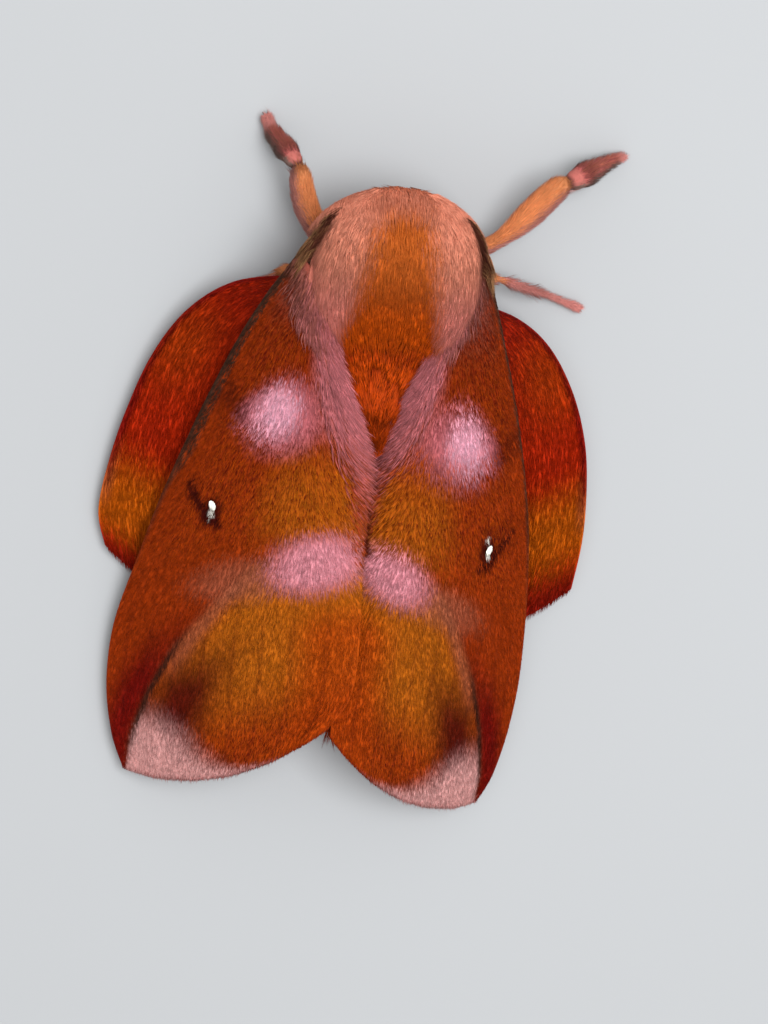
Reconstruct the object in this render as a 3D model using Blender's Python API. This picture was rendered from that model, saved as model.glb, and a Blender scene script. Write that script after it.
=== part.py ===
"""A life-size resting silk moth, Othorene purpurascens, a large female with her wings folded like a roof.

The head points along -Y, the back along +Z, and the moth's left side is +X. Sizes are in millimetres
and become metres where a mesh is made. Plan positions are measured from the front of the thorax, on
the middle of the body, and the whole model is set over the origin at the end.
"""

import math
import random

import bmesh
import bpy
from mathutils import Vector

MM = 0.001
LEFT = 1
RIGHT = -1
SIDES = {"left": LEFT, "right": RIGHT}

# Gap kept between touching pieces, and the thinnest wing.
GAP = 0.3
WING_THICKNESS = 0.5
# Where locks are joined: how far a point may lie off a straight edge, how near two points are one,
# and the longest edge that is drawn together where surfaces only just touch.
STRAIGHT = 0.02
SEAM = 0.004
LONG_SEAM = 0.4
SEW_ROUNDS = 8

# Thorax with its coat: station along the body, sideways shift, half width, underside and top.
# The last rows are the tuft that fills the notch between the forewings.
THORAX_FRONT = (0.3, 7.6)
THORAX_BACK = (24.3, 10.5)
THORAX_STATIONS = (
    (0.9, -0.7, 3.3, 6.3, 9.6),
    (2.0, -0.8, 5.3, 5.7, 10.9),
    (4.2, -0.8, 6.9, 4.7, 12.1),
    (6.8, -0.7, 7.6, 3.2, 12.9),
    (9.4, -0.6, 7.6, 2.4, 13.1),
    (12.0, -0.4, 6.8, 2.2, 12.8),
    (14.6, -0.2, 5.4, 2.9, 12.3),
    (17.0, 0.0, 3.7, 5.0, 11.9),
    (19.2, 0.0, 2.1, 7.8, 11.5),
    (21.6, 0.0, 1.1, 9.3, 11.2),
    (23.5, 0.0, 0.5, 9.9, 10.9),
)
THORAX_SIDES = 24
THORAX_RINGS = 17
# Coat of the thorax: a core under it, and flat locks in rows from the front to the tuft. A row has its
# station and how far round from the top it goes on each side.
CORE_DEPTH = 0.9
CORE_LAST = 9
LOCK_ROWS = (
    (0.95, 140), (2.2, 125), (4.0, 112), (6.2, 100), (8.5, 84), (10.8, 72),
    (13.0, 60), (15.1, 50), (17.0, 42), (18.7, 34), (20.2, 12),
)
LOCK_SPACING = 2.6
LOCK_LENGTH = 5.2
LOCK_WIDTH = 3.1
FRINGE_WIDTH = 1.9
# Share of the lock's length, share of its width, thickness, and depth of its middle under the tips' surface.
LOCK_RINGS = ((0.0, 0.6, 0.9, 1.55), (0.36, 1.0, 0.75, 0.6), (0.72, 0.72, 0.55, 0.3))
LOCK_SEED = 7
# Share of a lock's length that runs back along the body, which is less where the front rounds over.
LOCK_LEAN = ((0.9, 0.55), (4.2, 0.9), (9.0, 1.0))
# How much the locks' lengths, widths, places round the body and sideways bends vary.
LENGTH_RANGE = (0.85, 1.15)
WIDTH_RANGE = (0.85, 1.1)
PLACE_RANGE = (-0.04, 0.04)
SWAY_RANGE = (-0.25, 0.25)
SWAY_RADIUS = 2.5
LEAST_THICK = 0.25
# Room that the coat leaves round the wings' edges, the legs and the feelers, and at the cut for the wings.
WING_SIDE_ROOM = 0.5
LEG_ROOM = 1.2
FEELER_ROOM = 0.4
LIMB_SPOTS = 31
WING_ROOM = 1.3 * GAP
CORE_ROOM = 0.03
# How far back the locks' tips may reach above the wings, and below them.
TUFT_END = 24.2
FLANK_END = 7.3
# Fringe over the head: distance to either side of the head's middle, height of root and tip, station of
# root and tip, how far it bows forwards, and how much lower and further back each lock out from the middle is.
FRINGE = (-3.1, -1.6, 0.0, 1.6, 3.1)
FRINGE_TOP, FRINGE_TIP = 9.4, 5.8
FRINGE_BACK, FRINGE_FRONT = 1.75, 0.75
FRINGE_BOW = 1.2
FRINGE_SPREADS = (0.8, 1.0, 0.7)
FRINGE_FALL = 1 / 6
FRINGE_STAGGER = 0.5
# Angle from the top up to where the coat lies above the wings, and the station where the wings begin.
ABOVE_WING = 86
WING_FRONT = 5.4

# Abdomen: station, half width, underside and top. It lies on the floor, which cuts a flat under it.
ABDOMEN_BACK = (46.6, 3.4)
ABDOMEN_STATIONS = (
    (15.0, 4.2, 3.0, 7.6),
    (18.0, 5.0, 1.4, 8.7),
    (22.0, 5.6, 0.3, 9.1),
    (26.0, 5.7, -0.2, 9.0),
    (30.0, 5.5, -0.3, 8.6),
    (34.0, 5.0, -0.3, 7.9),
    (38.0, 4.2, -0.1, 7.0),
    (42.0, 3.1, 0.7, 5.9),
    (45.0, 1.8, 1.8, 4.8),
)
ABDOMEN_SIDES = 20
ABDOMEN_RINGS = 29
ABDOMEN_SEGMENT = 4.0
ABDOMEN_STEP = 0.18

# The roof that the forewings form: height of the ridge and of the leading edge at stations along the body.
RIDGE_HEIGHT = (
    (4.0, 11.6), (12.6, 11.4), (18.0, 11.2), (24.0, 11.0),
    (31.0, 10.3), (38.0, 9.3), (44.0, 8.2), (54.0, 6.5),
)
EDGE_HEIGHT = (
    (4.0, 8.8), (6.4, 8.2), (12.5, 6.4), (19.7, 4.6), (27.9, 3.2),
    (33.2, 2.4), (39.8, 1.6), (45.0, 1.3), (54.0, 1.3),
)
ROOF_POWER = 1.8
# Near the ridge the left forewing lies over the right one.
OVERLAP_LIFT = 0.47
OVERLAP_REACH = 3.2

# Forewing outlines in plan, as distance out from the middle and station along the body.
FOREWING_EDGE = {
    "left": (
        (7.3, 6.4), (10.6, 12.5), (13.4, 19.7), (16.1, 27.9), (17.6, 33.6),
        (19.1, 39.8), (19.3, 45.1), (18.5, 49.6), (17.3, 52.6),
    ),
    "right": (
        (8.0, 5.8), (10.4, 12.2), (13.0, 20.1), (14.9, 28.0), (15.8, 35.2),
        (16.1, 42.0), (15.7, 47.0), (14.8, 51.2), (13.7, 53.6),
    ),
}
FOREWING_INNER = {
    "left": (
        (4.4, 9.8), (3.9, 13.4), (2.1, 18.3), (0.6, 24.3), (0.0, 29.5),
        (-0.5, 34.6), (-0.8, 39.2), (-0.6, 43.0), (0.9, 46.0),
    ),
    "right": (
        (4.4, 9.8), (3.9, 13.4), (2.1, 18.3), (0.5, 24.3), (-0.2, 29.5),
        (-0.6, 34.6), (-0.7, 39.2), (-0.7, 43.0), (-0.5, 47.0),
    ),
}
FOREWING_MARGIN_BULGE = 2.4
FOREWING_STATIONS = 16
# Share of the way across the wing, leading edge first, and where along the wing each vein starts.
FOREWING_VEINS = (
    (0.07, 0.0), (0.16, 0.0), (0.27, 0.42), (0.38, 0.45),
    (0.50, 0.42), (0.61, 0.0), (0.73, 0.34), (0.87, 0.0),
)
VEIN_HEIGHT = 0.16
VEIN_HALF_WIDTH = 0.022
VEIN_RISE = 0.08
# How sharply the outer margin of a wing bows out towards its end.
MARGIN_POWER = 6

# Hindwing outlines in plan, under the forewing by a vertical step, and spread towards the floor outside it.
HINDWING_EDGE = {
    "left": (
        (7.2, 8.4), (11.9, 9.9), (15.4, 12.7), (17.9, 16.7),
        (19.6, 21.5), (20.7, 26.1), (21.2, 30.4), (20.4, 33.4),
    ),
    "right": (
        (7.4, 9.2), (12.0, 10.9), (15.2, 13.3), (17.7, 17.0),
        (19.3, 21.2), (20.0, 25.4), (20.2, 29.8), (19.8, 34.2),
    ),
}
HINDWING_INNER = (
    (4.4, 12.5), (4.0, 16.0), (3.7, 20.0), (3.4, 24.0), (3.2, 28.0), (3.1, 32.0), (3.2, 36.0), (4.0, 40.0),
)
HINDWING_MARGIN_BULGE = 2.0
HINDWING_STATIONS = 13
HINDWING_VEINS = ((0.10, 0.0), (0.25, 0.0), (0.40, 0.40), (0.53, 0.40), (0.67, 0.0), (0.84, 0.0))
HINDWING_DROP = 1.35
HINDWING_FLOOR = 0.85
HINDWING_SPREAD = 4.5

# Head, tucked under the front of the thorax, with the eyes on its sides. All of it shares a sideways shift.
HEAD_SHIFT = -0.7
HEAD_CENTRE = (HEAD_SHIFT, 4.6, 3.6)
HEAD_RADII = (3.1, 2.5, 2.5)
EYE_CENTRE = (2.75, 4.0, 3.2)
EYE_RADIUS = 1.5
PALP_ROUTE = ((0.75, 4.2, 1.9), (0.85, 3.0, 1.3), (0.9, 2.3, 1.6), (0.9, 2.0, 2.3))
PALP_RADII = (0.5, 0.55, 0.5, 0.32)
PALP_SIDES, PALP_RINGS = 8, 7
ANTENNA_ROUTE = (
    (1.5, 3.2, 4.6), (1.8, 2.4, 4.8), (2.8, 2.0, 4.9), (4.2, 2.5, 5.0), (5.3, 3.8, 5.1),
    (6.2, 5.4, 5.1), (7.0, 7.1, 5.1), (7.6, 9.0, 5.0), (7.9, 11.0, 4.8), (8.0, 13.0, 4.4),
)
ANTENNA_RADII = (0.45, 0.42, 0.38, 0.36, 0.36, 0.34, 0.33, 0.32, 0.3, 0.26)
ANTENNA_SIDES, ANTENNA_RINGS = 6, 22

# Legs: route of the middle line from inside the thorax to the foot, with a radius at each point.
LEG_ROUTES = {
    "foreleg_left": (
        (3.0, 7.4, 3.6, 1.0), (4.5, 6.4, 2.8, 1.05), (5.5, 4.9, 2.9, 1.1), (6.4, 3.6, 3.2, 1.15),
        (7.05, 2.0, 3.6, 1.15), (7.35, 0.7, 3.9, 0.95), (7.6, 0.1, 3.7, 0.6), (8.2, -0.7, 3.0, 1.1),
        (8.9, -1.5, 2.0, 0.9), (9.6, -2.1, 1.15, 0.58), (9.95, -2.8, 0.62, 0.55), (10.35, -3.7, 0.5, 0.6),
    ),
    "foreleg_right": (
        (-3.8, 8.0, 3.4, 1.0), (-5.6, 7.2, 2.6, 1.0), (-8.0, 5.7, 2.7, 0.85), (-9.9, 4.4, 2.9, 0.8),
        (-11.6, 2.5, 3.6, 1.3), (-13.1, 0.6, 4.1, 1.25), (-14.1, -0.4, 4.0, 0.9), (-14.6, -0.6, 3.8, 0.6),
        (-16.1, -1.3, 3.0, 1.05), (-17.5, -2.1, 1.9, 0.82), (-18.5, -2.6, 1.1, 0.5), (-19.3, -2.9, 0.6, 0.52),
        (-20.0, -3.1, 0.5, 0.5),
    ),
    "midleg_left": (
        (3.0, 10.2, 3.2, 0.95), (4.4, 10.0, 2.1, 0.95), (6.0, 9.4, 2.2, 0.9), (7.6, 8.8, 2.8, 0.8),
        (8.3, 9.0, 2.7, 0.5), (9.4, 10.2, 2.1, 0.6), (10.8, 12.0, 1.2, 0.5), (11.5, 13.2, 0.6, 0.5),
        (11.9, 15.0, 0.45, 0.5),
    ),
    "midleg_right": (
        (-3.0, 10.2, 3.2, 0.95), (-4.4, 10.0, 2.1, 0.95), (-6.6, 9.0, 2.4, 0.9), (-8.8, 8.0, 3.0, 0.8),
        (-10.0, 7.8, 3.0, 0.5), (-11.5, 8.2, 2.6, 0.5), (-12.9, 8.6, 2.0, 0.42), (-14.8, 9.05, 1.1, 0.42),
        (-16.5, 9.6, 0.55, 0.45), (-17.8, 10.0, 0.5, 0.56),
    ),
    "hindleg_left": (
        (2.8, 13.0, 3.2, 0.95), (4.2, 13.4, 2.0, 0.95), (6.2, 13.2, 2.2, 0.95), (8.4, 13.6, 2.9, 0.8),
        (8.9, 14.6, 2.6, 0.5), (9.2, 16.8, 1.6, 0.6), (9.3, 18.8, 0.8, 0.5), (9.3, 20.2, 0.5, 0.5),
        (9.2, 22.2, 0.45, 0.5),
    ),
    "hindleg_right": (
        (-2.8, 13.0, 3.2, 0.95), (-4.2, 13.4, 2.0, 0.95), (-6.2, 13.2, 2.2, 0.95), (-8.4, 13.6, 2.9, 0.8),
        (-8.9, 14.6, 2.6, 0.5), (-9.2, 16.8, 1.6, 0.6), (-9.3, 18.8, 0.8, 0.5), (-9.3, 20.2, 0.5, 0.5),
        (-9.2, 22.2, 0.45, 0.5),
    ),
}
LEG_SIDES = 8
LEG_RINGS_PER_POINT = 2

COLOURS = {
    "thorax": (0.42, 0.13, 0.05),
    "abdomen": (0.50, 0.17, 0.03),
    "forewing": (0.36, 0.10, 0.02),
    "hindwing": (0.38, 0.06, 0.01),
    "head": (0.40, 0.16, 0.09),
    "eye": (0.02, 0.012, 0.01),
    "antenna": (0.55, 0.30, 0.10),
    "leg": (0.50, 0.20, 0.14),
}


def clear_scene():
    for thing in list(bpy.data.objects):
        bpy.data.objects.remove(thing)


def between(rows, at):
    """Value at a station, straight between the rows' pairs of station and value."""
    for (a, low), (b, high) in zip(rows, rows[1:]):
        if at <= b:
            return low + (high - low) * max(0.0, at - a) / (b - a)
    return rows[-1][1]


def along(points, share):
    """Point at a share of the way along a smooth curve through the points."""
    last = len(points) - 1
    place = min(max(share, 0.0), 1.0) * last
    i = min(int(place), last - 1)
    t = place - i
    a, b, c, d = (Vector(points[min(max(k, 0), last)]) for k in (i - 1, i, i + 1, i + 2))
    return 0.5 * (2 * b + (c - a) * t + (2 * a - 5 * b + 4 * c - d) * t * t + (3 * b - a - 3 * c + d) * t**3)


def smooth_step(value):
    value = min(max(value, 0.0), 1.0)
    return value * value * (3 - 2 * value)


def finish(name, bm, kind=None, roughness=0.8):
    """Turns a mesh in millimetres into a named object in metres, with a material if it is a kept piece."""
    bmesh.ops.recalc_face_normals(bm, faces=bm.faces)
    if bm.calc_volume(signed=True) < 0:
        bmesh.ops.reverse_faces(bm, faces=bm.faces)
    bmesh.ops.scale(bm, vec=(MM, MM, MM), verts=bm.verts)
    mesh = bpy.data.meshes.new(name)
    bm.to_mesh(mesh)
    bm.free()
    mesh.shade_smooth()
    if kind:
        material = bpy.data.materials.new(name)
        material.use_nodes = True
        shader = material.node_tree.nodes["Principled BSDF"]
        shader.inputs["Base Color"].default_value = (*COLOURS[kind], 1.0)
        shader.inputs["Roughness"].default_value = roughness
        mesh.materials.append(material)
    thing = bpy.data.objects.new(name, mesh)
    bpy.context.collection.objects.link(thing)
    return thing


def keep_largest(thing):
    """Drops every closed surface of the piece but the largest, also one that only touches it."""
    bm = bmesh.new()
    bm.from_mesh(thing.data)
    left = set(bm.faces)
    shells = []
    while left:
        shell = {left.pop()}
        front = list(shell)
        while front:
            edges = {edge for face in front for edge in face.edges if len(edge.link_faces) == 2}
            near = {face for edge in edges for face in edge.link_faces} - shell
            shell |= near
            front = list(near)
        left -= shell
        shells.append(shell)
    shells.sort(key=len)
    for shell in shells[:-1]:
        bmesh.ops.delete(bm, geom=list(shell), context="FACES")
    bm.to_mesh(thing.data)
    bm.free()


def bend(vert):
    """How far a point with two edges lies off the straight line between its neighbours."""
    a, b = (edge.other_vert(vert).co for edge in vert.link_edges)
    ahead = (b - a).normalized()
    off = vert.co - a
    return (off - ahead * off.dot(ahead)).length


def straighten(thing):
    """Takes out the points that a cut leaves along straight edges, and splits the faces into triangles."""
    bm = bmesh.new()
    bm.from_mesh(thing.data)
    loose = [vert for vert in bm.verts if len(vert.link_edges) == 2]
    bmesh.ops.dissolve_verts(bm, verts=[vert for vert in loose if bend(vert) < STRAIGHT * MM])
    bmesh.ops.triangulate(bm, faces=bm.faces)
    sew(bm)
    bm.to_mesh(thing.data)
    bm.free()


def sew(bm):
    """Makes points in one place one point, and draws in every edge at which more than two faces meet."""
    for _ in range(SEW_ROUNDS):
        bmesh.ops.remove_doubles(bm, verts=bm.verts, dist=SEAM * MM)
        doubled = {}
        for face in bm.faces:
            doubled.setdefault(frozenset(face.verts), []).append(face)
        folds = [face for faces in doubled.values() if len(faces) > 1 for face in faces]
        bmesh.ops.delete(bm, geom=folds, context="FACES")
        drawn = []
        for edge in bm.edges:
            if len(edge.link_faces) > 2:
                if edge.calc_length() > LONG_SEAM * MM:
                    near = [side for face in edge.link_faces for side in face.edges]
                    edge = min(near, key=lambda side: side.calc_length())
                if edge not in drawn:
                    drawn.append(edge)
        if not drawn:
            break
        bmesh.ops.collapse(bm, edges=drawn)


def combine(thing, operation, cutter=None, group=None, solver="EXACT"):
    """Applies a Boolean with one object or a collection, which is removed, and keeps the largest surface."""
    modifier = thing.modifiers.new("combine", "BOOLEAN")
    modifier.operation = operation
    modifier.solver = solver
    if group:
        modifier.operand_type = "COLLECTION"
        modifier.collection = group
    else:
        modifier.object = cutter
    graph = bpy.context.evaluated_depsgraph_get()
    mesh = bpy.data.meshes.new_from_object(thing.evaluated_get(graph))
    thing.modifiers.clear()
    thing.data = mesh
    for used in list(group.objects) if group else [cutter]:
        bpy.data.objects.remove(used)
    if group:
        bpy.data.collections.remove(group)
    keep_largest(thing)


def cut(thing, cutter):
    combine(thing, "DIFFERENCE", cutter)


def swell(thing, by=GAP):
    """Grows a cutter along its normals, so that the piece it cuts keeps the gap."""
    normals = [vert.normal.copy() for vert in thing.data.vertices]
    for vert, normal in zip(thing.data.vertices, normals):
        vert.co += normal * by * MM
    return thing


def loft(name, kind, rings, start=None, end=None):
    """A closed skin over rings of points, drawn to a point at either end, or capped flat there."""
    bm = bmesh.new()
    loops = []
    for ring in rings:
        verts = [bm.verts.new(point) for point in ring]
        loops.append([bm.edges.new((a, b)) for a, b in zip(verts, verts[1:] + verts[:1])])
    for first, second in zip(loops, loops[1:]):
        bmesh.ops.bridge_loops(bm, edges=first + second)
    for loop, tip in ((loops[0], start), (loops[-1], end)):
        made = bmesh.ops.contextual_create(bm, geom=loop)["faces"]
        if tip:
            centre = bmesh.ops.poke(bm, faces=made)["verts"][0]
            centre.co = tip
    return finish(name, bm, kind)


def oval(station, shift, half_width, low, high, sides):
    """A ring of points across the body at a station, flat where it would pass under the floor."""
    middle, half_height = (low + high) / 2, (high - low) / 2
    ring = []
    for k in range(sides):
        turn = 2 * math.pi * k / sides
        across = shift + half_width * math.sin(turn)
        up = middle - half_height * math.cos(turn)
        ring.append((across, station, max(up, 0.0)))
    return ring


def core(name, kind=None):
    """The body of the thorax, under its coat."""
    rings = []
    for k in range(THORAX_RINGS):
        place = k / (THORAX_RINGS - 1) * CORE_LAST / (len(THORAX_STATIONS) - 1)
        station, shift, half_width, low, high = along(THORAX_STATIONS, place)
        half_width, low, high = half_width - CORE_DEPTH, low + CORE_DEPTH, high - CORE_DEPTH
        rings.append(oval(station, shift, max(half_width, 0.4), low, max(high, low + 0.5), THORAX_SIDES))
    return loft(name, kind, rings)


def thorax_row(station):
    """Shift, half width, middle height and half height of the coat's surface at a station."""
    place = between([(row[0], k) for k, row in enumerate(THORAX_STATIONS)], station)
    _, shift, half_width, low, high = along(THORAX_STATIONS, place / (len(THORAX_STATIONS) - 1))
    return shift, half_width, (low + high) / 2, (high - low) / 2


def on_coat(station, angle, depth):
    """Point at a depth under the coat's surface, at a station and an angle round from the top."""
    shift, half_width, middle, half_height = thorax_row(station)
    across = (half_width - depth) * math.sin(angle)
    return Vector((shift + across, station, middle + (half_height - depth) * math.cos(angle)))


def lock_rings(station, angle, length, width, sway):
    """Rings of four points along a lock that lies back over the coat, and its tip."""
    _, half_width, _, half_height = thorax_row(station)
    lean = between(LOCK_LEAN, station)

    def place(share, depth):
        turned = angle + sway * share * length / max(half_width, half_height, SWAY_RADIUS)
        return on_coat(station + share * length * lean, turned, depth)

    rings = []
    for share, spread, thick, depth in LOCK_RINGS:
        here = place(share, depth)
        normal = (place(share, depth - 1) - here).normalized()
        across = (place(share + 0.1, depth) - here).cross(normal).normalized() * width * spread / 2
        rings.append([here - across, here + normal * thick / 2, here + across, here - normal * thick / 2])
    return rings, place(1.0, 0.0)


def clear_of_wing(point, above):
    """Moves a point of the coat up or down to stay clear of the wings on its side."""
    side, out = ("left", point.x) if point.x > 0 else ("right", -point.x)
    inner = between([(y, x) for x, y in FOREWING_INNER[side]], point.y)
    if point.y < WING_FRONT or not inner - WING_SIDE_ROOM < out < edge_reach(side, point.y) + WING_SIDE_ROOM:
        return
    room = WING_THICKNESS / 2 + VEIN_HEIGHT + 1.5 * GAP
    if above:
        point.z = max(point.z, roof(side, out, point.y) + room)
    else:
        point.z = min(point.z, under_roof(side, out, point.y) - room)


def limbs():
    """Points along the legs and feelers and in the head, each with the room that the coat leaves round it."""
    spots = [(Vector(HEAD_CENTRE), max(HEAD_RADII))]
    for rows in LEG_ROUTES.values():
        route = [row[:3] for row in rows]
        spots += [(along(route, k / (LIMB_SPOTS - 1)), LEG_ROOM) for k in range(LIMB_SPOTS)]
    for side in SIDES.values():
        x, y, z = EYE_CENTRE
        spots.append((Vector((HEAD_SHIFT + x * side, y, z)), EYE_RADIUS))
        for k in range(LIMB_SPOTS):
            x, y, z = along(ANTENNA_ROUTE, k / (LIMB_SPOTS - 1))
            spots.append((Vector((HEAD_SHIFT + x * side, y, z)), FEELER_ROOM))
    return spots


def fringe():
    """Rings and tips of the locks that hang over the head from the front of the coat."""
    for index, across in enumerate(FRINGE):
        fall = abs(across) * FRINGE_FALL + FRINGE_STAGGER * (index % 2)
        rings = []
        for (share, _, thick, _), spread in zip(LOCK_RINGS, FRINGE_SPREADS):
            height = FRINGE_TOP + (FRINGE_TIP - FRINGE_TOP) * share - fall
            middle = Vector((HEAD_SHIFT + across, FRINGE_BACK - FRINGE_BOW * share**0.4 + fall / 2, height))
            side, out = Vector((FRINGE_WIDTH * spread / 2, 0, 0)), Vector((0, -thick / 2, 0.1))
            rings.append([middle - side, middle + out, middle + side, middle - out])
        yield rings, Vector((HEAD_SHIFT + across * 0.95, FRINGE_FRONT + fall / 2, FRINGE_TIP - fall))


def coat_rows():
    """Rings and tips of the locks that lie back over the thorax, with whether they lie above the wings."""
    draw = random.Random(LOCK_SEED)
    for index, (station, span) in enumerate(LOCK_ROWS):
        _, half_width, _, half_height = thorax_row(station)
        count = max(1, round(math.radians(2 * span) * (half_width + half_height) / 2 / LOCK_SPACING))
        for k in range(count):
            share = (2 * k + 1 + 0.5 * (index % 2) - 0.25) / count - 1
            angle = math.radians(span) * share + draw.uniform(*PLACE_RANGE)
            above = abs(angle) < math.radians(ABOVE_WING)
            length = LOCK_LENGTH * draw.uniform(*LENGTH_RANGE)
            length = min(length, (TUFT_END if above else FLANK_END) - station)
            width = LOCK_WIDTH * draw.uniform(*WIDTH_RANGE)
            rings, tip = lock_rings(station, angle, length, width, draw.uniform(*SWAY_RANGE))
            for point in [point for ring in rings[1:] for point in ring] + [tip]:
                clear_of_wing(point, above)
            for ring in rings[1:]:
                ring[1].z = max(ring[1].z, ring[3].z + LEAST_THICK)
            if length > LOCK_LENGTH / 3:
                yield rings, tip


def coat():
    """All the locks of the thorax that have room, in a collection."""
    spots = limbs()
    group = bpy.data.collections.new("locks")
    for rings, tip in [*coat_rows(), *fringe()]:
        points = [point for ring in rings for point in ring] + [tip]
        if any((point - spot).length < room + GAP for point in points for spot, room in spots):
            continue
        lock = loft("lock", None, rings, None, tip)
        group.objects.link(lock)
        bpy.context.collection.objects.unlink(lock)
    return group


def thorax():
    """The thorax with its coat, cut clear of the wings."""
    thing = core("thorax", "thorax")
    group = coat()
    bpy.context.scene.collection.children.link(group)
    combine(thing, "UNION", group=group, solver="MANIFOLD")
    for side in SIDES:
        room = swell(forewing_blank(f"room_{side}", side), WING_ROOM)
        cut(room, swell(core("core_room"), CORE_ROOM))
        combine(thing, "DIFFERENCE", room, solver="MANIFOLD")
    straighten(thing)


def abdomen(name):
    """The abdomen, with a low step at each of its segments."""
    rings = []
    for k in range(ABDOMEN_RINGS):
        station, half_width, low, high = along(ABDOMEN_STATIONS, k / (ABDOMEN_RINGS - 1))
        share = station / ABDOMEN_SEGMENT
        step = ABDOMEN_STEP * (share - math.floor(share) - 0.5)
        rings.append(oval(station, 0, half_width + step, low, high + step, ABDOMEN_SIDES))
    return loft(name, "abdomen", rings, end=(0, *ABDOMEN_BACK))


def edge_reach(side, station):
    """How far out the leading edge of the forewing is at a station along the body."""
    return between([(y, x) for x, y in FOREWING_EDGE[side]], station)


def roof(side, out, station):
    """Height of the middle of the forewing over a point in plan, given as distance out and station."""
    ridge, edge = between(RIDGE_HEIGHT, station), between(EDGE_HEIGHT, station)
    share = min(abs(out) / edge_reach(side, station), 1.0)
    lift = OVERLAP_LIFT * (1 - smooth_step(out / OVERLAP_REACH)) * SIDES[side]
    return edge + (ridge - edge) * (1 - share**ROOF_POWER) + lift


def under_roof(side, out, station):
    """Height of the middle of the hindwing: under the forewing, then spreading out towards the floor."""
    reach = edge_reach(side, station)
    if out <= reach:
        return roof(side, out, station) - HINDWING_DROP
    edge = between(EDGE_HEIGHT, station) - HINDWING_DROP
    return HINDWING_FLOOR + max(edge - HINDWING_FLOOR, 0.0) * math.exp((reach - out) / HINDWING_SPREAD)


def wing(name, kind, side, edge, inner, bulge, stations, veins, height):
    """A wing as a grid whose lines follow its veins, raised along them on both faces."""
    steps = (-VEIN_HALF_WIDTH, 0.0, VEIN_HALF_WIDTH)
    shares = sorted({0.0, 1.0} | {v + step for v, _ in veins for step in steps})
    starts = {v: start for v, start in veins}
    first, last = len(shares) - 1, stations - 1

    def middle(u, v):
        flat = along(edge, u).lerp(along(inner, u), v)
        station = flat.y + bulge * u**MARGIN_POWER * 4 * v * (1 - v)
        return Vector((flat.x * SIDES[side], station, height(side, flat.x, station)))

    def ridge(u, v):
        start = starts.get(v)
        if start is None:
            return 0.0
        return VEIN_HEIGHT * smooth_step((u - start) / VEIN_RISE) * (1 - u / 2)

    bm = bmesh.new()
    bmesh.ops.create_grid(bm, x_segments=first, y_segments=last, size=0.5)
    bmesh.ops.triangulate(bm, faces=bm.faces)
    made = bmesh.ops.extrude_face_region(bm, geom=bm.faces[:], use_keep_orig=True)["geom"]
    upper = {item for item in made if isinstance(item, bmesh.types.BMVert)}
    tiny = 1e-3
    for vert in bm.verts:
        u = round((vert.co.y + 0.5) * last) / last
        v = shares[round((vert.co.x + 0.5) * first)]
        slope_along = middle(min(u + tiny, 1), v) - middle(max(u - tiny, 0), v)
        slope_across = middle(u, min(v + tiny, 1)) - middle(u, max(v - tiny, 0))
        normal = slope_along.cross(slope_across).normalized()
        normal *= math.copysign(WING_THICKNESS / 2 + ridge(u, v), normal.z)
        vert.co = middle(u, v) + normal * (1 if vert in upper else -1)
    return finish(name, bm, kind)


def forewing_blank(name, side, kind=None):
    return wing(
        name, kind, side, FOREWING_EDGE[side], FOREWING_INNER[side], FOREWING_MARGIN_BULGE,
        FOREWING_STATIONS, FOREWING_VEINS, roof,
    )


def forewing(side):
    cut(forewing_blank(f"forewing_{side}", side, "forewing"), swell(core("core_gap")))


def hindwing(side):
    piece = wing(
        f"hindwing_{side}", "hindwing", side, HINDWING_EDGE[side], HINDWING_INNER, HINDWING_MARGIN_BULGE,
        HINDWING_STATIONS, HINDWING_VEINS, under_roof,
    )
    cut(piece, swell(core("core_gap")))


def ball(name, kind, centre, radii, detail=(20, 12)):
    bm = bmesh.new()
    bmesh.ops.create_uvsphere(bm, u_segments=detail[0], v_segments=detail[1], radius=1.0)
    bmesh.ops.scale(bm, vec=radii, verts=bm.verts)
    bmesh.ops.translate(bm, vec=centre, verts=bm.verts)
    return finish(name, bm, kind)


def head(name):
    return ball(name, "head", HEAD_CENTRE, HEAD_RADII)


def eye(side):
    x, y, z = EYE_CENTRE
    centre = (HEAD_SHIFT + x * SIDES[side], y, z)
    piece = ball(f"eye_{side}", "eye", centre, (EYE_RADIUS,) * 3, detail=(16, 10))
    cut(piece, swell(head("head_gap")))
    cut(piece, swell(core("core_gap")))


def tube(name, kind, route, radii, sides, rings):
    """A round limb along a smooth curve through the route, flat where it stands on the floor."""
    places = [along(route, k / (rings - 1)) for k in range(rings)]
    widths = [along([(r, 0) for r in radii], k / (rings - 1)).x for k in range(rings)]
    loops = []
    side_way = None
    for k, place in enumerate(places):
        ahead = (places[min(k + 1, rings - 1)] - places[max(k - 1, 0)]).normalized()
        side_way = ahead.cross(side_way or Vector((0, 0, 1))).cross(ahead).normalized()
        up_way = ahead.cross(side_way)
        ring = []
        for n in range(sides):
            turn = 2 * math.pi * (n + 0.5) / sides
            point = place + widths[k] * (math.cos(turn) * side_way + math.sin(turn) * up_way)
            ring.append((point.x, point.y, max(point.z, 0.0)))
        loops.append(ring)
    return loft(name, kind, loops)


def leg(name):
    rows = LEG_ROUTES[name]
    rings = LEG_RINGS_PER_POINT * (len(rows) - 1) + 1
    piece = tube(name, "leg", [row[:3] for row in rows], [row[3] for row in rows], LEG_SIDES, rings)
    cut(piece, swell(core("core_gap")))


def feeler(name, side, kind, route, radii, sides, rings):
    placed = [(HEAD_SHIFT + x * SIDES[side], y, z) for x, y, z in route]
    piece = tube(f"{name}_{side}", kind, placed, radii, sides, rings)
    cut(piece, swell(head("head_gap")))


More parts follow.
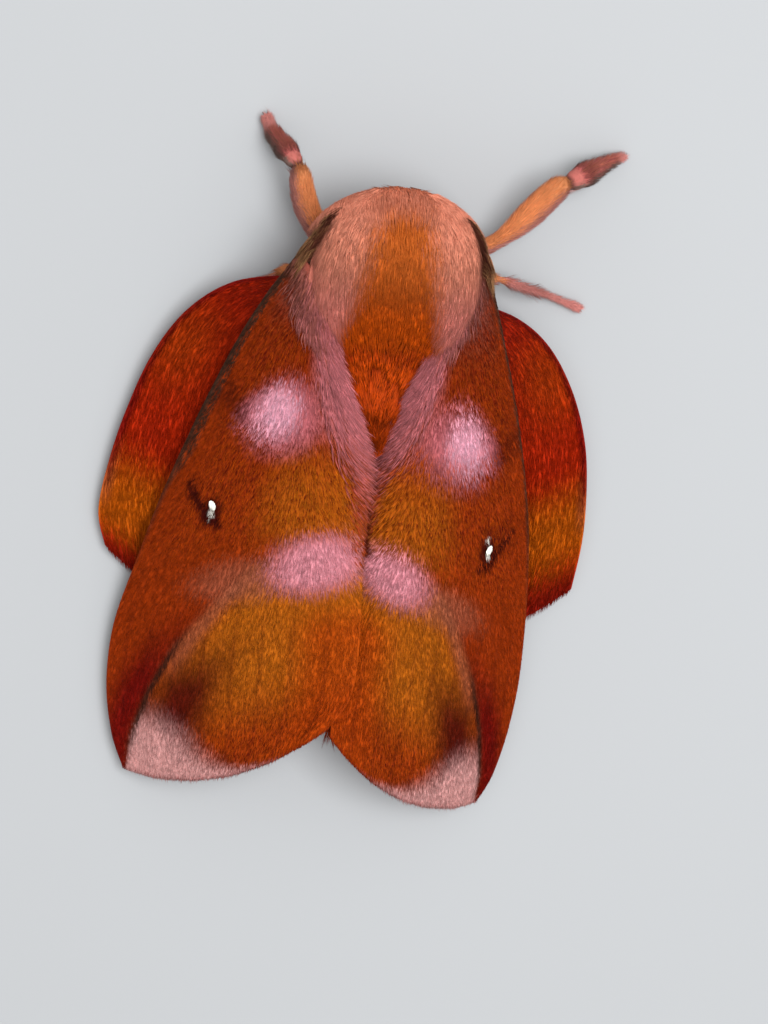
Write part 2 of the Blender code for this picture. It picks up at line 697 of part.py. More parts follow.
def set_over_origin():
    """Moves the whole model so that the origin is in the middle of its box, on the floor."""
    things = list(bpy.data.objects)
    points = [corner.co for thing in things for corner in thing.data.vertices]
    low = Vector(map(min, *points))
    high = Vector(map(max, *points))
    shift = Vector((-(low.x + high.x) / 2, -(low.y + high.y) / 2, -low.z))
    for thing in things:
        thing.location = shift


def main():
    clear_scene()
    thorax()
    cut(abdomen("abdomen"), swell(core("core_gap")))
    cut(head("head"), swell(core("core_gap")))
    for side in SIDES:
        forewing(side)
        hindwing(side)
        eye(side)
        feeler("antenna", side, "antenna", ANTENNA_ROUTE, ANTENNA_RADII, ANTENNA_SIDES, ANTENNA_RINGS)
        feeler("palp", side, "head", PALP_ROUTE, PALP_RADII, PALP_SIDES, PALP_RINGS)
    for name in LEG_ROUTES:
        leg(name)
    set_over_origin()


main()
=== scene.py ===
import bmesh
import bpy
import numpy as np
from mathutils import Matrix, Vector
from mathutils.kdtree import KDTree


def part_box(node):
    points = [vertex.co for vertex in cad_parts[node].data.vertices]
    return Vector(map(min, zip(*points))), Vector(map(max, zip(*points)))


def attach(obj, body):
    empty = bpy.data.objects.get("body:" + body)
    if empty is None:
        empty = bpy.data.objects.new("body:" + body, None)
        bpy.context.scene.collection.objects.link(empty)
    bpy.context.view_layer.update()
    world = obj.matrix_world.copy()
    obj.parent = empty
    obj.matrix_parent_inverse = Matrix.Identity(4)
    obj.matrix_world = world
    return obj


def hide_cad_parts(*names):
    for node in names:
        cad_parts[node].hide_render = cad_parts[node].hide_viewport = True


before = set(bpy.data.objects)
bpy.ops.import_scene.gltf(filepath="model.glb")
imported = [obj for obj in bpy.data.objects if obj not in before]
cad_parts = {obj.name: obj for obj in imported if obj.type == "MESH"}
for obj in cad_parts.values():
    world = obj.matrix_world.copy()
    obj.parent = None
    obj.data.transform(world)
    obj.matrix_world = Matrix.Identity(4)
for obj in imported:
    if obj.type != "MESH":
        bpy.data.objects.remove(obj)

# Floor, camera and light
# The moth rests on a plain pale floor in soft shade. The camera looks down on its back, a little from the
# front and from its left side, and one wide light in front of its right side leaves faint shadows.
MM = 0.001
ABDOMEN_END = 46.6
FLOOR_SIZE = 4.0
FLOOR_TONE = (0.41, 0.425, 0.44)
FLOOR_ROUGHNESS = 0.9
CAMERA_PLACE = (29.16, -19.14, 223.74)
CAMERA_TILT, CAMERA_SIDE, CAMERA_ROLL = 12.0, 8.0, 6.2
CAMERA_LENS = 95.29
CAMERA_NEAREST = 0.01
LIGHT_PLACE = (-80, -70, 380)
LIGHT_AIM = (0, 22, 6)
LIGHT_SIZE = 260
LIGHT_POWER = 1.6
SKY_TONE = (1.0, 0.985, 0.975)
SKY_STRENGTH = 0.74

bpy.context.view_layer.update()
belly_low, belly_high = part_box("abdomen")
# Shapes are drawn in millimetres from the front of the thorax, and this is where that point lies.
ORIGIN = Vector(((belly_low.x + belly_high.x) / 2 / MM, belly_high.y / MM - ABDOMEN_END, 0))


def finished(bm, name):
    mesh = bpy.data.meshes.new(name)
    bm.to_mesh(mesh)
    bm.free()
    return mesh


def stand(name, data):
    """An object at the origin of the scene."""
    thing = bpy.data.objects.new(name, data)
    bpy.context.scene.collection.objects.link(thing)
    return thing


def floor():
    bm = bmesh.new()
    bmesh.ops.create_grid(bm, x_segments=1, y_segments=1, size=FLOOR_SIZE / 2)
    mesh = finished(bm, "floor")
    material = bpy.data.materials.new("floor")
    material.use_nodes = True
    shader = material.node_tree.nodes["Principled BSDF"]
    shader.inputs["Base Color"].default_value = (*FLOOR_TONE, 1)
    shader.inputs["Roughness"].default_value = FLOOR_ROUGHNESS
    mesh.materials.append(material)
    stand("floor", mesh)


def camera():
    side, tilt = np.sin(np.radians((CAMERA_SIDE, CAMERA_TILT)))
    back = Vector((side, -tilt, (1 - side**2 - tilt**2) ** 0.5))
    right = Vector((0, -1, 0)).cross(back).normalized()
    turned = Matrix((right, back.cross(right), back)).transposed().to_4x4()
    turned = turned @ Matrix.Rotation(np.radians(CAMERA_ROLL), 4, "Z")
    thing = stand("camera", bpy.data.cameras.new("camera"))
    thing.matrix_world = Matrix.Translation((Vector(CAMERA_PLACE) + ORIGIN) * MM) @ turned
    thing.data.lens = CAMERA_LENS
    thing.data.clip_start = CAMERA_NEAREST
    bpy.context.scene.camera = thing


def light():
    thing = stand("light", bpy.data.lights.new("light", "AREA"))
    thing.data.size = LIGHT_SIZE * MM
    thing.data.energy = LIGHT_POWER
    place = Vector(LIGHT_PLACE) * MM
    aim = (place - Vector(LIGHT_AIM) * MM).to_track_quat("Z", "Y")
    thing.matrix_world = Matrix.Translation(place) @ aim.to_matrix().to_4x4()
    world = bpy.data.worlds.new("sky")
    world.use_nodes = True
    sky = world.node_tree.nodes["Background"]
    sky.inputs["Color"].default_value = (*SKY_TONE, 1)
    sky.inputs["Strength"].default_value = SKY_STRENGTH
    bpy.context.scene.world = world


floor()
camera()
light()
bpy.context.scene.view_settings.view_transform = "Standard"


# Forewings
# Each forewing is a thin stiff membrane on raised veins, broad and rounded behind, held like one side of
# a roof. Its upper side is covered in short pile that lies towards the outer margin.
SIDES = {"left": 1, "right": -1}
RIDGE_HEIGHT = (
    (4.0, 11.6), (12.6, 11.4), (18.0, 11.2), (24.0, 11.0),
    (31.0, 10.3), (38.0, 9.3), (44.0, 8.2), (54.0, 6.5),
)
EDGE_HEIGHT = (
    (4.0, 8.8), (6.4, 8.2), (12.5, 6.4), (19.7, 4.6), (27.9, 3.2),
    (33.2, 2.4), (39.8, 1.6), (45.0, 1.3), (54.0, 1.3),
)
ROOF_POWER = 1.8
OVERLAP_LIFT = 0.47
OVERLAP_REACH = 3.2
FOREWING_EDGE = {
    "left": (
        (7.3, 6.4), (10.6, 12.5), (13.4, 19.7), (16.1, 27.9), (17.6, 33.6),
        (19.1, 39.8), (19.3, 45.1), (18.5, 49.6), (17.3, 52.6),
    ),
    "right": (
        (8.0, 5.8), (10.4, 12.2), (13.0, 20.1), (14.9, 28.0), (15.8, 35.2),
        (16.1, 42.0), (15.7, 47.0), (14.8, 51.2), (13.7, 53.6),
    ),
}
FOREWING_INNER = {
    "left": (
        (4.4, 9.8), (3.9, 13.4), (2.1, 18.3), (0.6, 24.3), (0.0, 29.5),
        (-0.5, 34.6), (-0.8, 39.2), (-0.6, 43.0), (0.9, 46.0),
    ),
    "right": (
        (4.4, 9.8), (3.9, 13.4), (2.1, 18.3), (0.5, 24.3), (-0.2, 29.5),
        (-0.6, 34.6), (-0.7, 39.2), (-0.7, 43.0), (-0.5, 47.0),
    ),
}
FOREWING_BULGE = 2.4
MARGIN_POWER = 6
FOREWING_VEINS = (
    (0.07, 0.0), (0.16, 0.0), (0.27, 0.42), (0.38, 0.45),
    (0.50, 0.42), (0.61, 0.0), (0.73, 0.34), (0.87, 0.0),
)
WING_GRID = (110, 70)
WING_THICKNESS = 0.22
VEIN_HEIGHT = 0.07
VEIN_WIDTH = 0.013
VEIN_FADE = 0.08
RIPPLE_HEIGHT, RIPPLES = 0.06, 34
# How far a curve goes on past its end points, as a share of the distance between two of its points.
PAST_END = 0.3
# How near the floor the skin and the coat come.
FLOOR_GAP = 0.02


def between(rows, at):
    """Values at stations, straight between the rows' pairs of station and value."""
    return np.interp(at, *zip(*rows))


def along(points, share):
    """Points at shares of the way along a smooth curve through the points, and a little past its ends."""
    points = np.array(points, float)
    last = len(points) - 1
    place = np.clip(np.asarray(share, float) * last, -PAST_END, last + PAST_END)
    i = np.clip(place.astype(int), 0, last - 1)
    t = (place - i)[..., None]
    a, b, c, d = (points[np.clip(i + k, 0, last)] for k in (-1, 0, 1, 2))
    return 0.5 * (2 * b + (c - a) * t + (2 * a - 5 * b + 4 * c - d) * t**2 + (3 * b - a - 3 * c + d) * t**3)


def soft(value):
    """A smooth step from 0 to 1."""
    value = np.clip(value, 0, 1)
    return value * value * (3 - 2 * value)


def ramp(value, start, width):
    """A smooth step up, from 0 at the start to 1 a width past it."""
    return soft((value - start) / width)


def fade(value, end, width):
    """A smooth step down, from 1 a width before the end to 0 at the end."""
    return soft((end - value) / width)


def edge_reach(side, station):
    """How far out the leading edge of the forewing is."""
    return between([(y, x) for x, y in FOREWING_EDGE[side]], station)


def roof(side, out, station):
    """Height of the forewing over a place in plan, given as distance out and station."""
    ridge, edge = between(RIDGE_HEIGHT, station), between(EDGE_HEIGHT, station)
    share = np.minimum(abs(out) / edge_reach(side, station), 1)
    lift = OVERLAP_LIFT * (1 - soft(out / OVERLAP_REACH)) * SIDES[side]
    return edge + (ridge - edge) * (1 - share**ROOF_POWER) + lift


def on_vein(u, v, veins):
    """1 on the wing's veins and 0 between them."""
    return sum(soft(1.2 - abs(v - place) / VEIN_WIDTH) * ramp(u, start, VEIN_FADE) for place, start in veins)


def wing_surface(side, edge, inner, bulge, height, veins):
    """The wing's skin as a function of the share along it, the share across it and the rise above it."""
    def surface(u, v, rise=0.0):
        v = np.asarray(v, float)
        flat = along(edge, u) * (1 - v)[..., None] + along(inner, u) * v[..., None]
        station = flat[..., 1] + bulge * np.clip(u, 0, 1.05) ** MARGIN_POWER * 4 * v * (1 - v)
        out = flat[..., 0]
        relief = VEIN_HEIGHT * on_vein(u, v, veins) * (1 - u / 2)
        relief = relief + RIPPLE_HEIGHT * np.sin(v * RIPPLES + 2 * u) * ramp(u, 0.3, 0.4)
        return np.stack([out * SIDES[side], station, height(side, out, station) + relief + rise], axis=-1)
    return surface


def unit(vectors):
    return vectors / np.maximum(np.linalg.norm(vectors, axis=-1, keepdims=True), 1e-9)


def slopes(surface, u, v, tiny=1e-3):
    """Point on a surface, its slopes along u and v, and its outward normal."""
    point = surface(u, v)
    by_u = (surface(u + tiny, v) - surface(u - tiny, v)) / (2 * tiny)
    by_v = (surface(u, v + tiny) - surface(u, v - tiny)) / (2 * tiny)
    normal = unit(np.cross(by_u, by_v))
    outside = surface(u, v, 0.1) - point
    return point, by_u, by_v, normal * np.sign((normal * outside).sum(-1, keepdims=True))


def paint(*tone):
    """A tone as the screen shows it, from 0 to 255, turned into light."""
    return (np.array(tone) / 255) ** 2.2


def mix(first, second, share):
    return first + (second - first) * np.asarray(share)[..., None]


def layered(tone, *layers):
    """A tone with others laid over it in turn, each given with the share of it that shows."""
    for colour, share in layers:
        tone = mix(tone, colour, share)
    return tone


# The forewing's tones, as they look in soft light.
WING_ORANGE = paint(190, 76, 9)
WING_BROWN = paint(122, 28, 4)
WING_DARK = paint(66, 12, 4)
WING_TAN = paint(210, 120, 26)
WING_SHADE = paint(92, 14, 3)
INNER_ORANGE = paint(192, 73, 4)
OUTER_ORANGE = paint(164, 58, 4)
OUTER_RED = paint(122, 18, 3)
BLOTCH_PINK = paint(255, 180, 200)
BLOTCH_MAUVE = paint(212, 120, 130)
FRINGE_PINK = paint(204, 112, 114)
APEX_PINK = paint(224, 164, 160)
LINE_DARK = paint(66, 36, 26)
LINE_PALE = paint(176, 100, 74)
EDGE_GREY = paint(76, 50, 38)
BASE_PINK = paint(178, 98, 84)
SPOT_WHITE = paint(255, 252, 240)
# The dark line across the wing and the inner border of the pale corner: share along and across the wing.
LINE = (
    (0.50, 0.62), (0.525, 0.51), (0.585, 0.39), (0.66, 0.28), (0.755, 0.185), (0.86, 0.095), (1.0, 0.01),
)
CORNER = ((0.76, 0.10), (0.80, 0.19), (0.84, 0.26), (0.89, 0.33), (0.94, 0.42), (0.97, 0.53), (1.0, 0.80))
SPOT = (0.42, 0.275)
SPOT_RADII = (0.008, 0.014)
SPOT_SLANT = 0.012
SPOT_COUNT = 180
SPOT_STREAK = ((0.372, 0.12), (0.448, 0.325))
SPOT_RING = (0.026, 0.050)
FRONT_STREAK = ((0.24, 0.05), (0.268, 0.23))
# The soft marks: tone, share, centre and radii along and across the wing, and how soft the border is.
BLOTCHES = (
    (BLOTCH_MAUVE, 0.8, (0.268, 0.31), (0.024, 0.09), 0.8),
    (BLOTCH_MAUVE, 0.75, (0.268, 0.55), (0.054, 0.24), 0.7),
    (BLOTCH_PINK, 1, (0.265, 0.475), (0.037, 0.135), 0.9),
    (FRINGE_PINK, 0.55, (0.20, 0.86), (0.10, 0.13), 0.7),
    (LINE_PALE, 0.6, (0.55, 0.50), (0.035, 0.20), 0.9),
    (BLOTCH_MAUVE, 0.8, (0.53, 0.80), (0.055, 0.21), 0.6),
    (BLOTCH_PINK, 0.45, (0.53, 0.80), (0.042, 0.16), 0.8),
)
# The marks of the front half lie further forward on the left wing than on the right one.
MARK_SHIFT = {"left": (-0.016, 0.05), "right": (0.018, -0.015)}


def blotch(u, v, centre, radii, edge, grain):
    """1 inside an oval and 0 outside it, with a border that is rough where the grain is."""
    far = np.hypot((u - centre[0]) / radii[0], (v - centre[1]) / radii[1])
    return soft((1 - far) / edge + 0.5 + 0.3 * grain)


def streak(u, v, start, end, width, stretch=0.35):
    """1 on a straight streak and 0 away from it, with shares across the wing shortened by the stretch."""
    ahead = np.array((end[0] - start[0], (end[1] - start[1]) * stretch))
    here = np.stack([u - start[0], (v - start[1]) * stretch], axis=-1)
    place = np.clip(here @ ahead / (ahead @ ahead), 0, 1)
    return soft(1.3 - np.linalg.norm(here - place[..., None] * ahead, axis=-1) / width)


def forewing_tone(u, v, grain):
    """The forewing's tones at shares along and across it. The grain, from -1 to 1, roughens their borders."""
    middle = ramp(v, 0.4, 0.25) * soft(1.2 - abs(u - 0.42) / 0.12)
    ground = layered(
        WING_BROWN,
        (WING_ORANGE, soft(0.42 + 0.55 * grain + 0.3 * (u - 0.25))),
        (WING_DARK, 0.35 * soft(1 - u / 0.25) + 0.3 * soft(0.2 - grain)),
        (WING_TAN, middle * (0.35 + 0.4 * grain)),
    )
    grain = grain * (1 - 0.4 * ramp(u, 0.5, 0.2))
    inside = v - between(LINE, u)
    past = ramp(u, 0.42, 0.14)
    field = past * soft(inside / 0.25 + 0.3) * fade(u, 0.92, 0.2)
    shade = soft(1.1 - abs(inside - 0.15) / 0.2 + 0.2 * grain) * ramp(u, 0.62, 0.16) * fade(u, 1.02, 0.08)
    outside = soft(0.5 - inside / 0.05 + 0.2 * grain) * past
    red = ramp(u, 0.55, 0.2) * soft(1.1 - abs(inside + 0.06) / 0.14 + 0.2 * grain)
    pale = soft(1 - abs(inside - 0.04) / 0.07 + 0.3 * grain) * ramp(u, 0.50, 0.06) * fade(u, 0.76, 0.1)
    corner = soft(0.38 + (between(CORNER, u) - v) / 0.22 + 0.4 * grain)
    corner = corner * soft((u - 0.76) / 0.12 + 0.2 * grain)
    line = soft(1.15 - abs(inside) / 0.021 + 0.2 * grain) * ramp(u, 0.60, 0.1) * fade(u, 1, 0.2)
    blotches = (
        (colour, share * blotch(u, v, centre, radii, border, 1.4 * grain))
        for colour, share, centre, radii, border in BLOTCHES
    )
    return layered(
        ground,
        (WING_TAN, field * (0.62 + 0.3 * grain)),
        (WING_SHADE, 0.95 * shade),
        (INNER_ORANGE, 0.75 * ramp(v, 0.66, 0.2) * ramp(u, 0.58, 0.1)),
        (mix(OUTER_ORANGE, OUTER_RED, red), np.maximum(outside, 0.7 * soft((0.22 - v) / 0.15 + 0.2 * grain))),
        (WING_SHADE, 0.25 * on_vein(u, v, FOREWING_VEINS) * ramp(u, 0.5, 0.2)),
        (LINE_PALE, 0.55 * pale),
        (WING_SHADE, 0.35 * ramp(u, 0.88, 0.1) * fade(v, 0.75, 0.2)),
        (APEX_PINK, corner * soft(0.5 + inside / 0.02)),
        (LINE_DARK, 0.95 * line),
        *blotches,
        (FRINGE_PINK, 0.6 * soft((v - 0.94 + 0.06 * grain) / 0.06) * fade(u, 0.5, 0.15)),
        (WING_DARK, 0.7 * streak(u, v, *FRONT_STREAK, 0.02) * (0.7 + 0.3 * grain)),
        (WING_DARK, 0.95 * streak(u, v, *SPOT_STREAK, 0.0085)),
        (WING_DARK, 0.9 * blotch(u, v, SPOT, SPOT_RING, 0.6, 0.5 * grain)),
        (SPOT_WHITE, blotch(u, v, SPOT, SPOT_RADII, 0.4, 0)),
        (mix(EDGE_GREY, BASE_PINK, soft(v / 0.35)), 0.75 * soft(1.1 - u / 0.11 + 0.4 * grain)),
        (EDGE_GREY, soft((0.065 - 0.08 * u - v) / 0.03) * fade(u, 0.62, 0.35)),
        (OUTER_RED, 0.7 * ramp(u, 0.985, 0.01)),
    )


class Wire:
    """A shader socket that takes Python's sums."""

    def __init__(self, tree, socket):
        self.tree = tree
        self.socket = socket

    def maths(self, operation, other):
        node = self.tree.nodes.new("ShaderNodeMath")
        node.operation = operation
        self.tree.links.new(self.socket, node.inputs[0])
        if isinstance(other, Wire):
            self.tree.links.new(other.socket, node.inputs[1])
        else:
            node.inputs[1].default_value = other
        return Wire(self.tree, node.outputs[0])

    def __add__(self, other):
        return self.maths("ADD", other)

    def __mul__(self, other):
        return self.maths("MULTIPLY", other)

    __radd__ = __add__
    __rmul__ = __mul__


class Finish:
    """A material, laid node by node."""

    def __init__(self, name, **constants):
        self.material = bpy.data.materials.new(name)
        self.material.use_nodes = True
        self.tree = self.material.node_tree
        self.shader = self.tree.nodes["Principled BSDF"]
        for socket, value in constants.items():
            self.shader.inputs[socket.replace("_", " ")].default_value = value

    def node(self, kind, settings=None, sockets=None, out=0):
        """A node with its settings made first, then the values or links of its sockets."""
        node = self.tree.nodes.new(kind)
        for setting, value in (settings or {}).items():
            setattr(node, setting, value)
        for socket, value in (sockets or {}).items():
            if isinstance(value, Wire):
                self.tree.links.new(value.socket, node.inputs[socket])
            else:
                node.inputs[socket].default_value = value
        return Wire(self.tree, node.outputs[out])

    def tone(self):
        """The tone that is stored at each point of the mesh."""
        return self.node("ShaderNodeAttribute", {"attribute_name": "tone"})

    def place(self):
        return self.node("ShaderNodeTexCoord", out="Object")

    def noise(self, place, scale, detail):
        return self.node("ShaderNodeTexNoise", sockets={"Vector": place, "Scale": scale, "Detail": detail})

    def shift(self, colour, amount):
        """The colour made lighter or darker by an amount round 1."""
        return self.node("ShaderNodeHueSaturation", sockets={"Color": colour, "Value": amount})

    def bump(self, height, strength, distance):
        sockets = {"Height": height, "Strength": strength, "Distance": distance}
        return self.node("ShaderNodeBump", sockets=sockets)

    def feed(self, **wires):
        for socket, wire in wires.items():
            self.tree.links.new(wire.socket, self.shader.inputs[socket.replace("_", " ")])


def set_tone(mesh, tones):
    """Stores one tone for each point of a mesh."""
    rgba = np.ones((len(tones), 4), np.float32)
    rgba[:, :3] = np.clip(tones, 0, 1)
    mesh.attributes.new("tone", "FLOAT_COLOR", "POINT").data.foreach_set("color", rgba.ravel())


def show(name, mesh, finish, slot, *nodes):
    """Places a finished mesh with its finish on the root body and hides the solids it stands for; the slot is
    not used.
    """
    mesh.materials.append(finish.material)
    mesh.shade_smooth()
    thing = stand(name, mesh)
    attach(thing, "root")
    if nodes:
        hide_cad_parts(*nodes)


def membrane_finish(name):
    """Wing membrane under its scales: the wing's own tone, streaked along the veins, with a fine grain."""
    finish = Finish(name, Roughness=0.62, Specular_IOR_Level=0.08)
    place = finish.node("ShaderNodeUVMap", {"uv_map": "wing"})
    long = finish.node("ShaderNodeMapping", sockets={"Vector": place, "Scale": (60, 160, 1)})
    streaks = finish.noise(long, 1.0, 4)
    grain = finish.noise(place, 420, 2)
    finish.feed(Base_Color=finish.shift(finish.tone(), 0.45 + streaks * 0.5 + grain * 0.4))
    finish.feed(Normal=finish.bump(grain + streaks * 0.6, 0.5, 0.00012))
    finish.feed(Roughness=0.5 + grain * 0.25)
    return finish


def in_frame(bm):
    """Turns a bmesh in millimetres from the front of the thorax into metres in the frame, above the floor."""
    for vert in bm.verts:
        vert.co = (Vector((vert.co.x, vert.co.y, max(vert.co.z, FLOOR_GAP))) + ORIGIN) * MM


def wing(name, surface, tone, slot):
    """A wing's membrane: a fine grid, given its thickness."""
    across, down = WING_GRID
    bm = bmesh.new()
    bmesh.ops.create_grid(bm, x_segments=across, y_segments=down, size=0.5)
    grid = np.array([vert.co for vert in bm.verts])
    u, v = grid[:, 0] + 0.5, grid[:, 1] + 0.5
    for vert, place in zip(bm.verts, surface(u, v)):
        vert.co = place
    in_frame(bm)
    layer = bm.loops.layers.uv.new("wing")
    for face in bm.faces:
        for loop in face.loops:
            loop[layer].uv = (u[loop.vert.index], v[loop.vert.index])
    bmesh.ops.recalc_face_normals(bm, faces=bm.faces)
    if sum(face.normal.z for face in bm.faces) < 0:
        bmesh.ops.reverse_faces(bm, faces=bm.faces)
    bmesh.ops.solidify(bm, geom=bm.faces[:], thickness=WING_THICKNESS * MM)
    mesh = finished(bm, name)
    set_tone(mesh, np.tile(tone(u, v, 0 * u), (2, 1)))
    show(f"{name}_skin", mesh, membrane_finish(name), slot, name)


def tuft_shape(sides, cuts):
    """One tuft: a closed cone cut across at some shares of its length. Gives turns, shares and faces."""
    bm = bmesh.new()
    bmesh.ops.create_cone(bm, cap_ends=True, segments=sides, radius1=1, radius2=0, depth=1)
    bmesh.ops.translate(bm, vec=(0, 0, 0.5), verts=bm.verts)
    for cut in cuts:
        whole = bm.verts[:] + bm.edges[:] + bm.faces[:]
        bmesh.ops.bisect_plane(bm, geom=whole, plane_co=(0, 0, cut), plane_no=(0, 0, 1))
    bmesh.ops.triangulate(bm, faces=bm.faces)
    bm.verts.index_update()
    points = np.array([vert.co for vert in bm.verts])
    faces = np.array([[vert.index for vert in face.verts] for face in bm.faces])
    bm.free()
    return unit(points * (1, 1, 0))[:, :2], points[:, 2].round(4), faces


SHORT_TUFT = tuft_shape(3, ())
BENT_TUFT = tuft_shape(3, (0.45,))
LONG_TUFT = tuft_shape(3, (0.3, 0.65))
BAKE_PATCH = 0.003


def spread(surface, u_span, v_span, count, seed, weight=None):
    """Roots spread over part of a surface at random, and thinner where the weight is small."""
    rng = np.random.default_rng(seed)
    u = rng.uniform(*u_span, 4 * count)
    v = rng.uniform(*v_span, 4 * count)
    _, by_u, by_v, _ = slopes(surface, u, v)
    chance = np.linalg.norm(np.cross(by_u, by_v), axis=-1)
    if weight:
        chance = chance * weight(u, v)
    total = np.cumsum(chance)
    chosen = np.searchsorted(total, (np.arange(count) + rng.random()) / count * total[-1])
    return u[chosen], v[chosen]


def pull_together(root, every, pull):
    """Offsets that draw each tuft's tip towards the nearest of the tufts that lead a lock."""
    leads = root[::every]
    nearest = np.empty(len(root), int)
    for start in range(0, len(root), 2000):
        part = root[start : start + 2000]
        far = ((part[:, None] - leads[None]) ** 2).sum(-1)
        nearest[start : start + 2000] = far.argmin(1)
    return (leads[nearest] - root) * pull


def walk(step, way, by_u, by_v):
    """How far u and v change over a step along a surface, from its slopes."""
    uu, uv, vv = ((a * b).sum(-1) for a, b in ((by_u, by_u), (by_u, by_v), (by_v, by_v)))
    wu, wv = (way * by_u).sum(-1), (way * by_v).sum(-1)
    spare = np.maximum(uu * vv - uv * uv, 1e-9)
    return step * (vv * wu - uv * wv) / spare, step * (uu * wv - uv * wu) / spare


def triangle_mesh(name, points, faces):
    mesh = bpy.data.meshes.new(name)
    mesh.vertices.add(len(points))
    mesh.vertices.foreach_set("co", ((points + ORIGIN) * MM).astype(np.float32).ravel())
    mesh.loops.add(faces.size)
    mesh.loops.foreach_set("vertex_index", faces.astype(np.int32).ravel())
    mesh.polygons.add(len(faces))
    mesh.polygons.foreach_set("loop_start", np.arange(0, faces.size, 3, dtype=np.int32))
    mesh.update(calc_edges=True)
    return mesh


def grained_finish(name, roughness, gloss, grain, shades, relief=None):
    """A dull finish that shows the stored tone, lighter and darker by a fine grain.

    grain is its scale and detail, shades the darkest shade and what the grain adds to it, and relief how
    strong and how deep its bumps are."""
    finish = Finish(name, Roughness=roughness, Specular_IOR_Level=gloss)
    grain = finish.noise(finish.place(), *grain)
    finish.feed(Base_Color=finish.shift(finish.tone(), shades[0] + grain * shades[1]))
    if relief:
        finish.feed(Normal=finish.bump(grain, *relief))
    return finish


def coat(
    name, slot, surface, u, v, wrap, shape, lie, length, width, lift, tones,
    clump=None, clear=None, flat=0.5, sink=0.12, flecks=0.13, seed=1,
):
    """Tufts on a surface, as thin closed cones that leave it and bend along the lie of the coat.

    wrap gives the place of a tuft's root on the unwrap kept in the OFBake map, lie how far the tuft
    points along u and v, and tones its colours at root and tip. clump draws tufts together into locks,
    clear moves them off other pieces, and flecks is how much they differ in lightness."""
    rng = np.random.default_rng(seed)
    turns, shares, faces = shape
    length = length * rng.uniform(0.75, 1.15, len(u))
    width = width * rng.uniform(0.8, 1.2, len(u))
    ahead, aside = lie(u, v)
    aside = aside + rng.normal(0, 0.10, len(u))
    at_u, at_v = u, v
    middles, normals, acrosses = {}, {}, {}
    levels = sorted(set(shares))
    for before, level in zip([0.0] + levels, levels):
        if level:
            u_step, v_step = walk((level - before) * length, way, by_u, by_v)
            at_u, at_v = at_u + u_step, at_v + v_step
        point, by_u, by_v, normal = slopes(surface, at_u, at_v)
        way = unit(ahead[:, None] * unit(by_u) + aside[:, None] * unit(by_v))
        rise = length * lift * (1 - (1 - level) ** 2) - sink * (1 - level) ** 2
        middles[level] = point + normal * rise[:, None]
        normals[level], acrosses[level] = normal, np.cross(normal, way)
    if clump:
        offset = pull_together(middles[0.0], *clump)
        for level in levels:
            middles[level] = middles[level] + offset * level**1.3
    if clear:
        for level in levels[1:]:
            middles[level] = clear(middles[level])
    points = np.empty((len(u), len(shares), 3))
    tone = np.empty((len(u), len(shares), 3))
    fleck = rng.normal(1, flecks, len(u)).clip(0.45, 1.6)[:, None]
    for k, (turn, share) in enumerate(zip(turns, shares)):
        wide = width * (1 - share**2) * (0.7 + 0.9 * share) / 2
        points[:, k] = (
            middles[share] + acrosses[share] * (wide * turn[0])[:, None]
            + normals[share] * (wide * flat * turn[1])[:, None]
        )
        tone[:, k] = mix(*tones, share**0.8) * fleck
    points[..., 2] = np.maximum(points[..., 2], FLOOR_GAP)
    every = (faces[None] + len(shares) * np.arange(len(u))[:, None, None]).reshape(-1, 3)
    mesh = triangle_mesh(name, points.reshape(-1, 3), every)
    root = np.stack(wrap(u, v), axis=-1)[:, None]
    patch = np.stack([turns[:, 0] * (1 - shares), shares], axis=-1)[None] * BAKE_PATCH
    places = np.clip(root + patch, 0, 1).reshape(-1, 2)
    mesh.uv_layers.new(name="OFBake").data.foreach_set("uv", places[every.ravel()].astype(np.float32).ravel())
    set_tone(mesh, tone.reshape(-1, 3))
    # Scales and hair are soft and a little silky.
    show(name, mesh, grained_finish(name, 0.6, 0.08, (900, 2), (0.75, 0.5)), slot)


# Sizes of the pile on the forewings.
PILE_COUNT = 47000
PILE_LENGTH = 0.6
PILE_WIDTH = 0.13
PILE_SPANS = ((0.01, 0.995), (0.004, 0.996))


def wing_lie(u, v):
    """The pile runs along the wing, and turns in towards the inner margin near it."""
    return np.ones_like(u), 0.75 * ramp(v, 0.62, 0.38) * fade(u, 0.75, 0.3)


def on_wing(u, v):
    return 0.02 + 0.96 * u, 0.02 + 0.96 * v


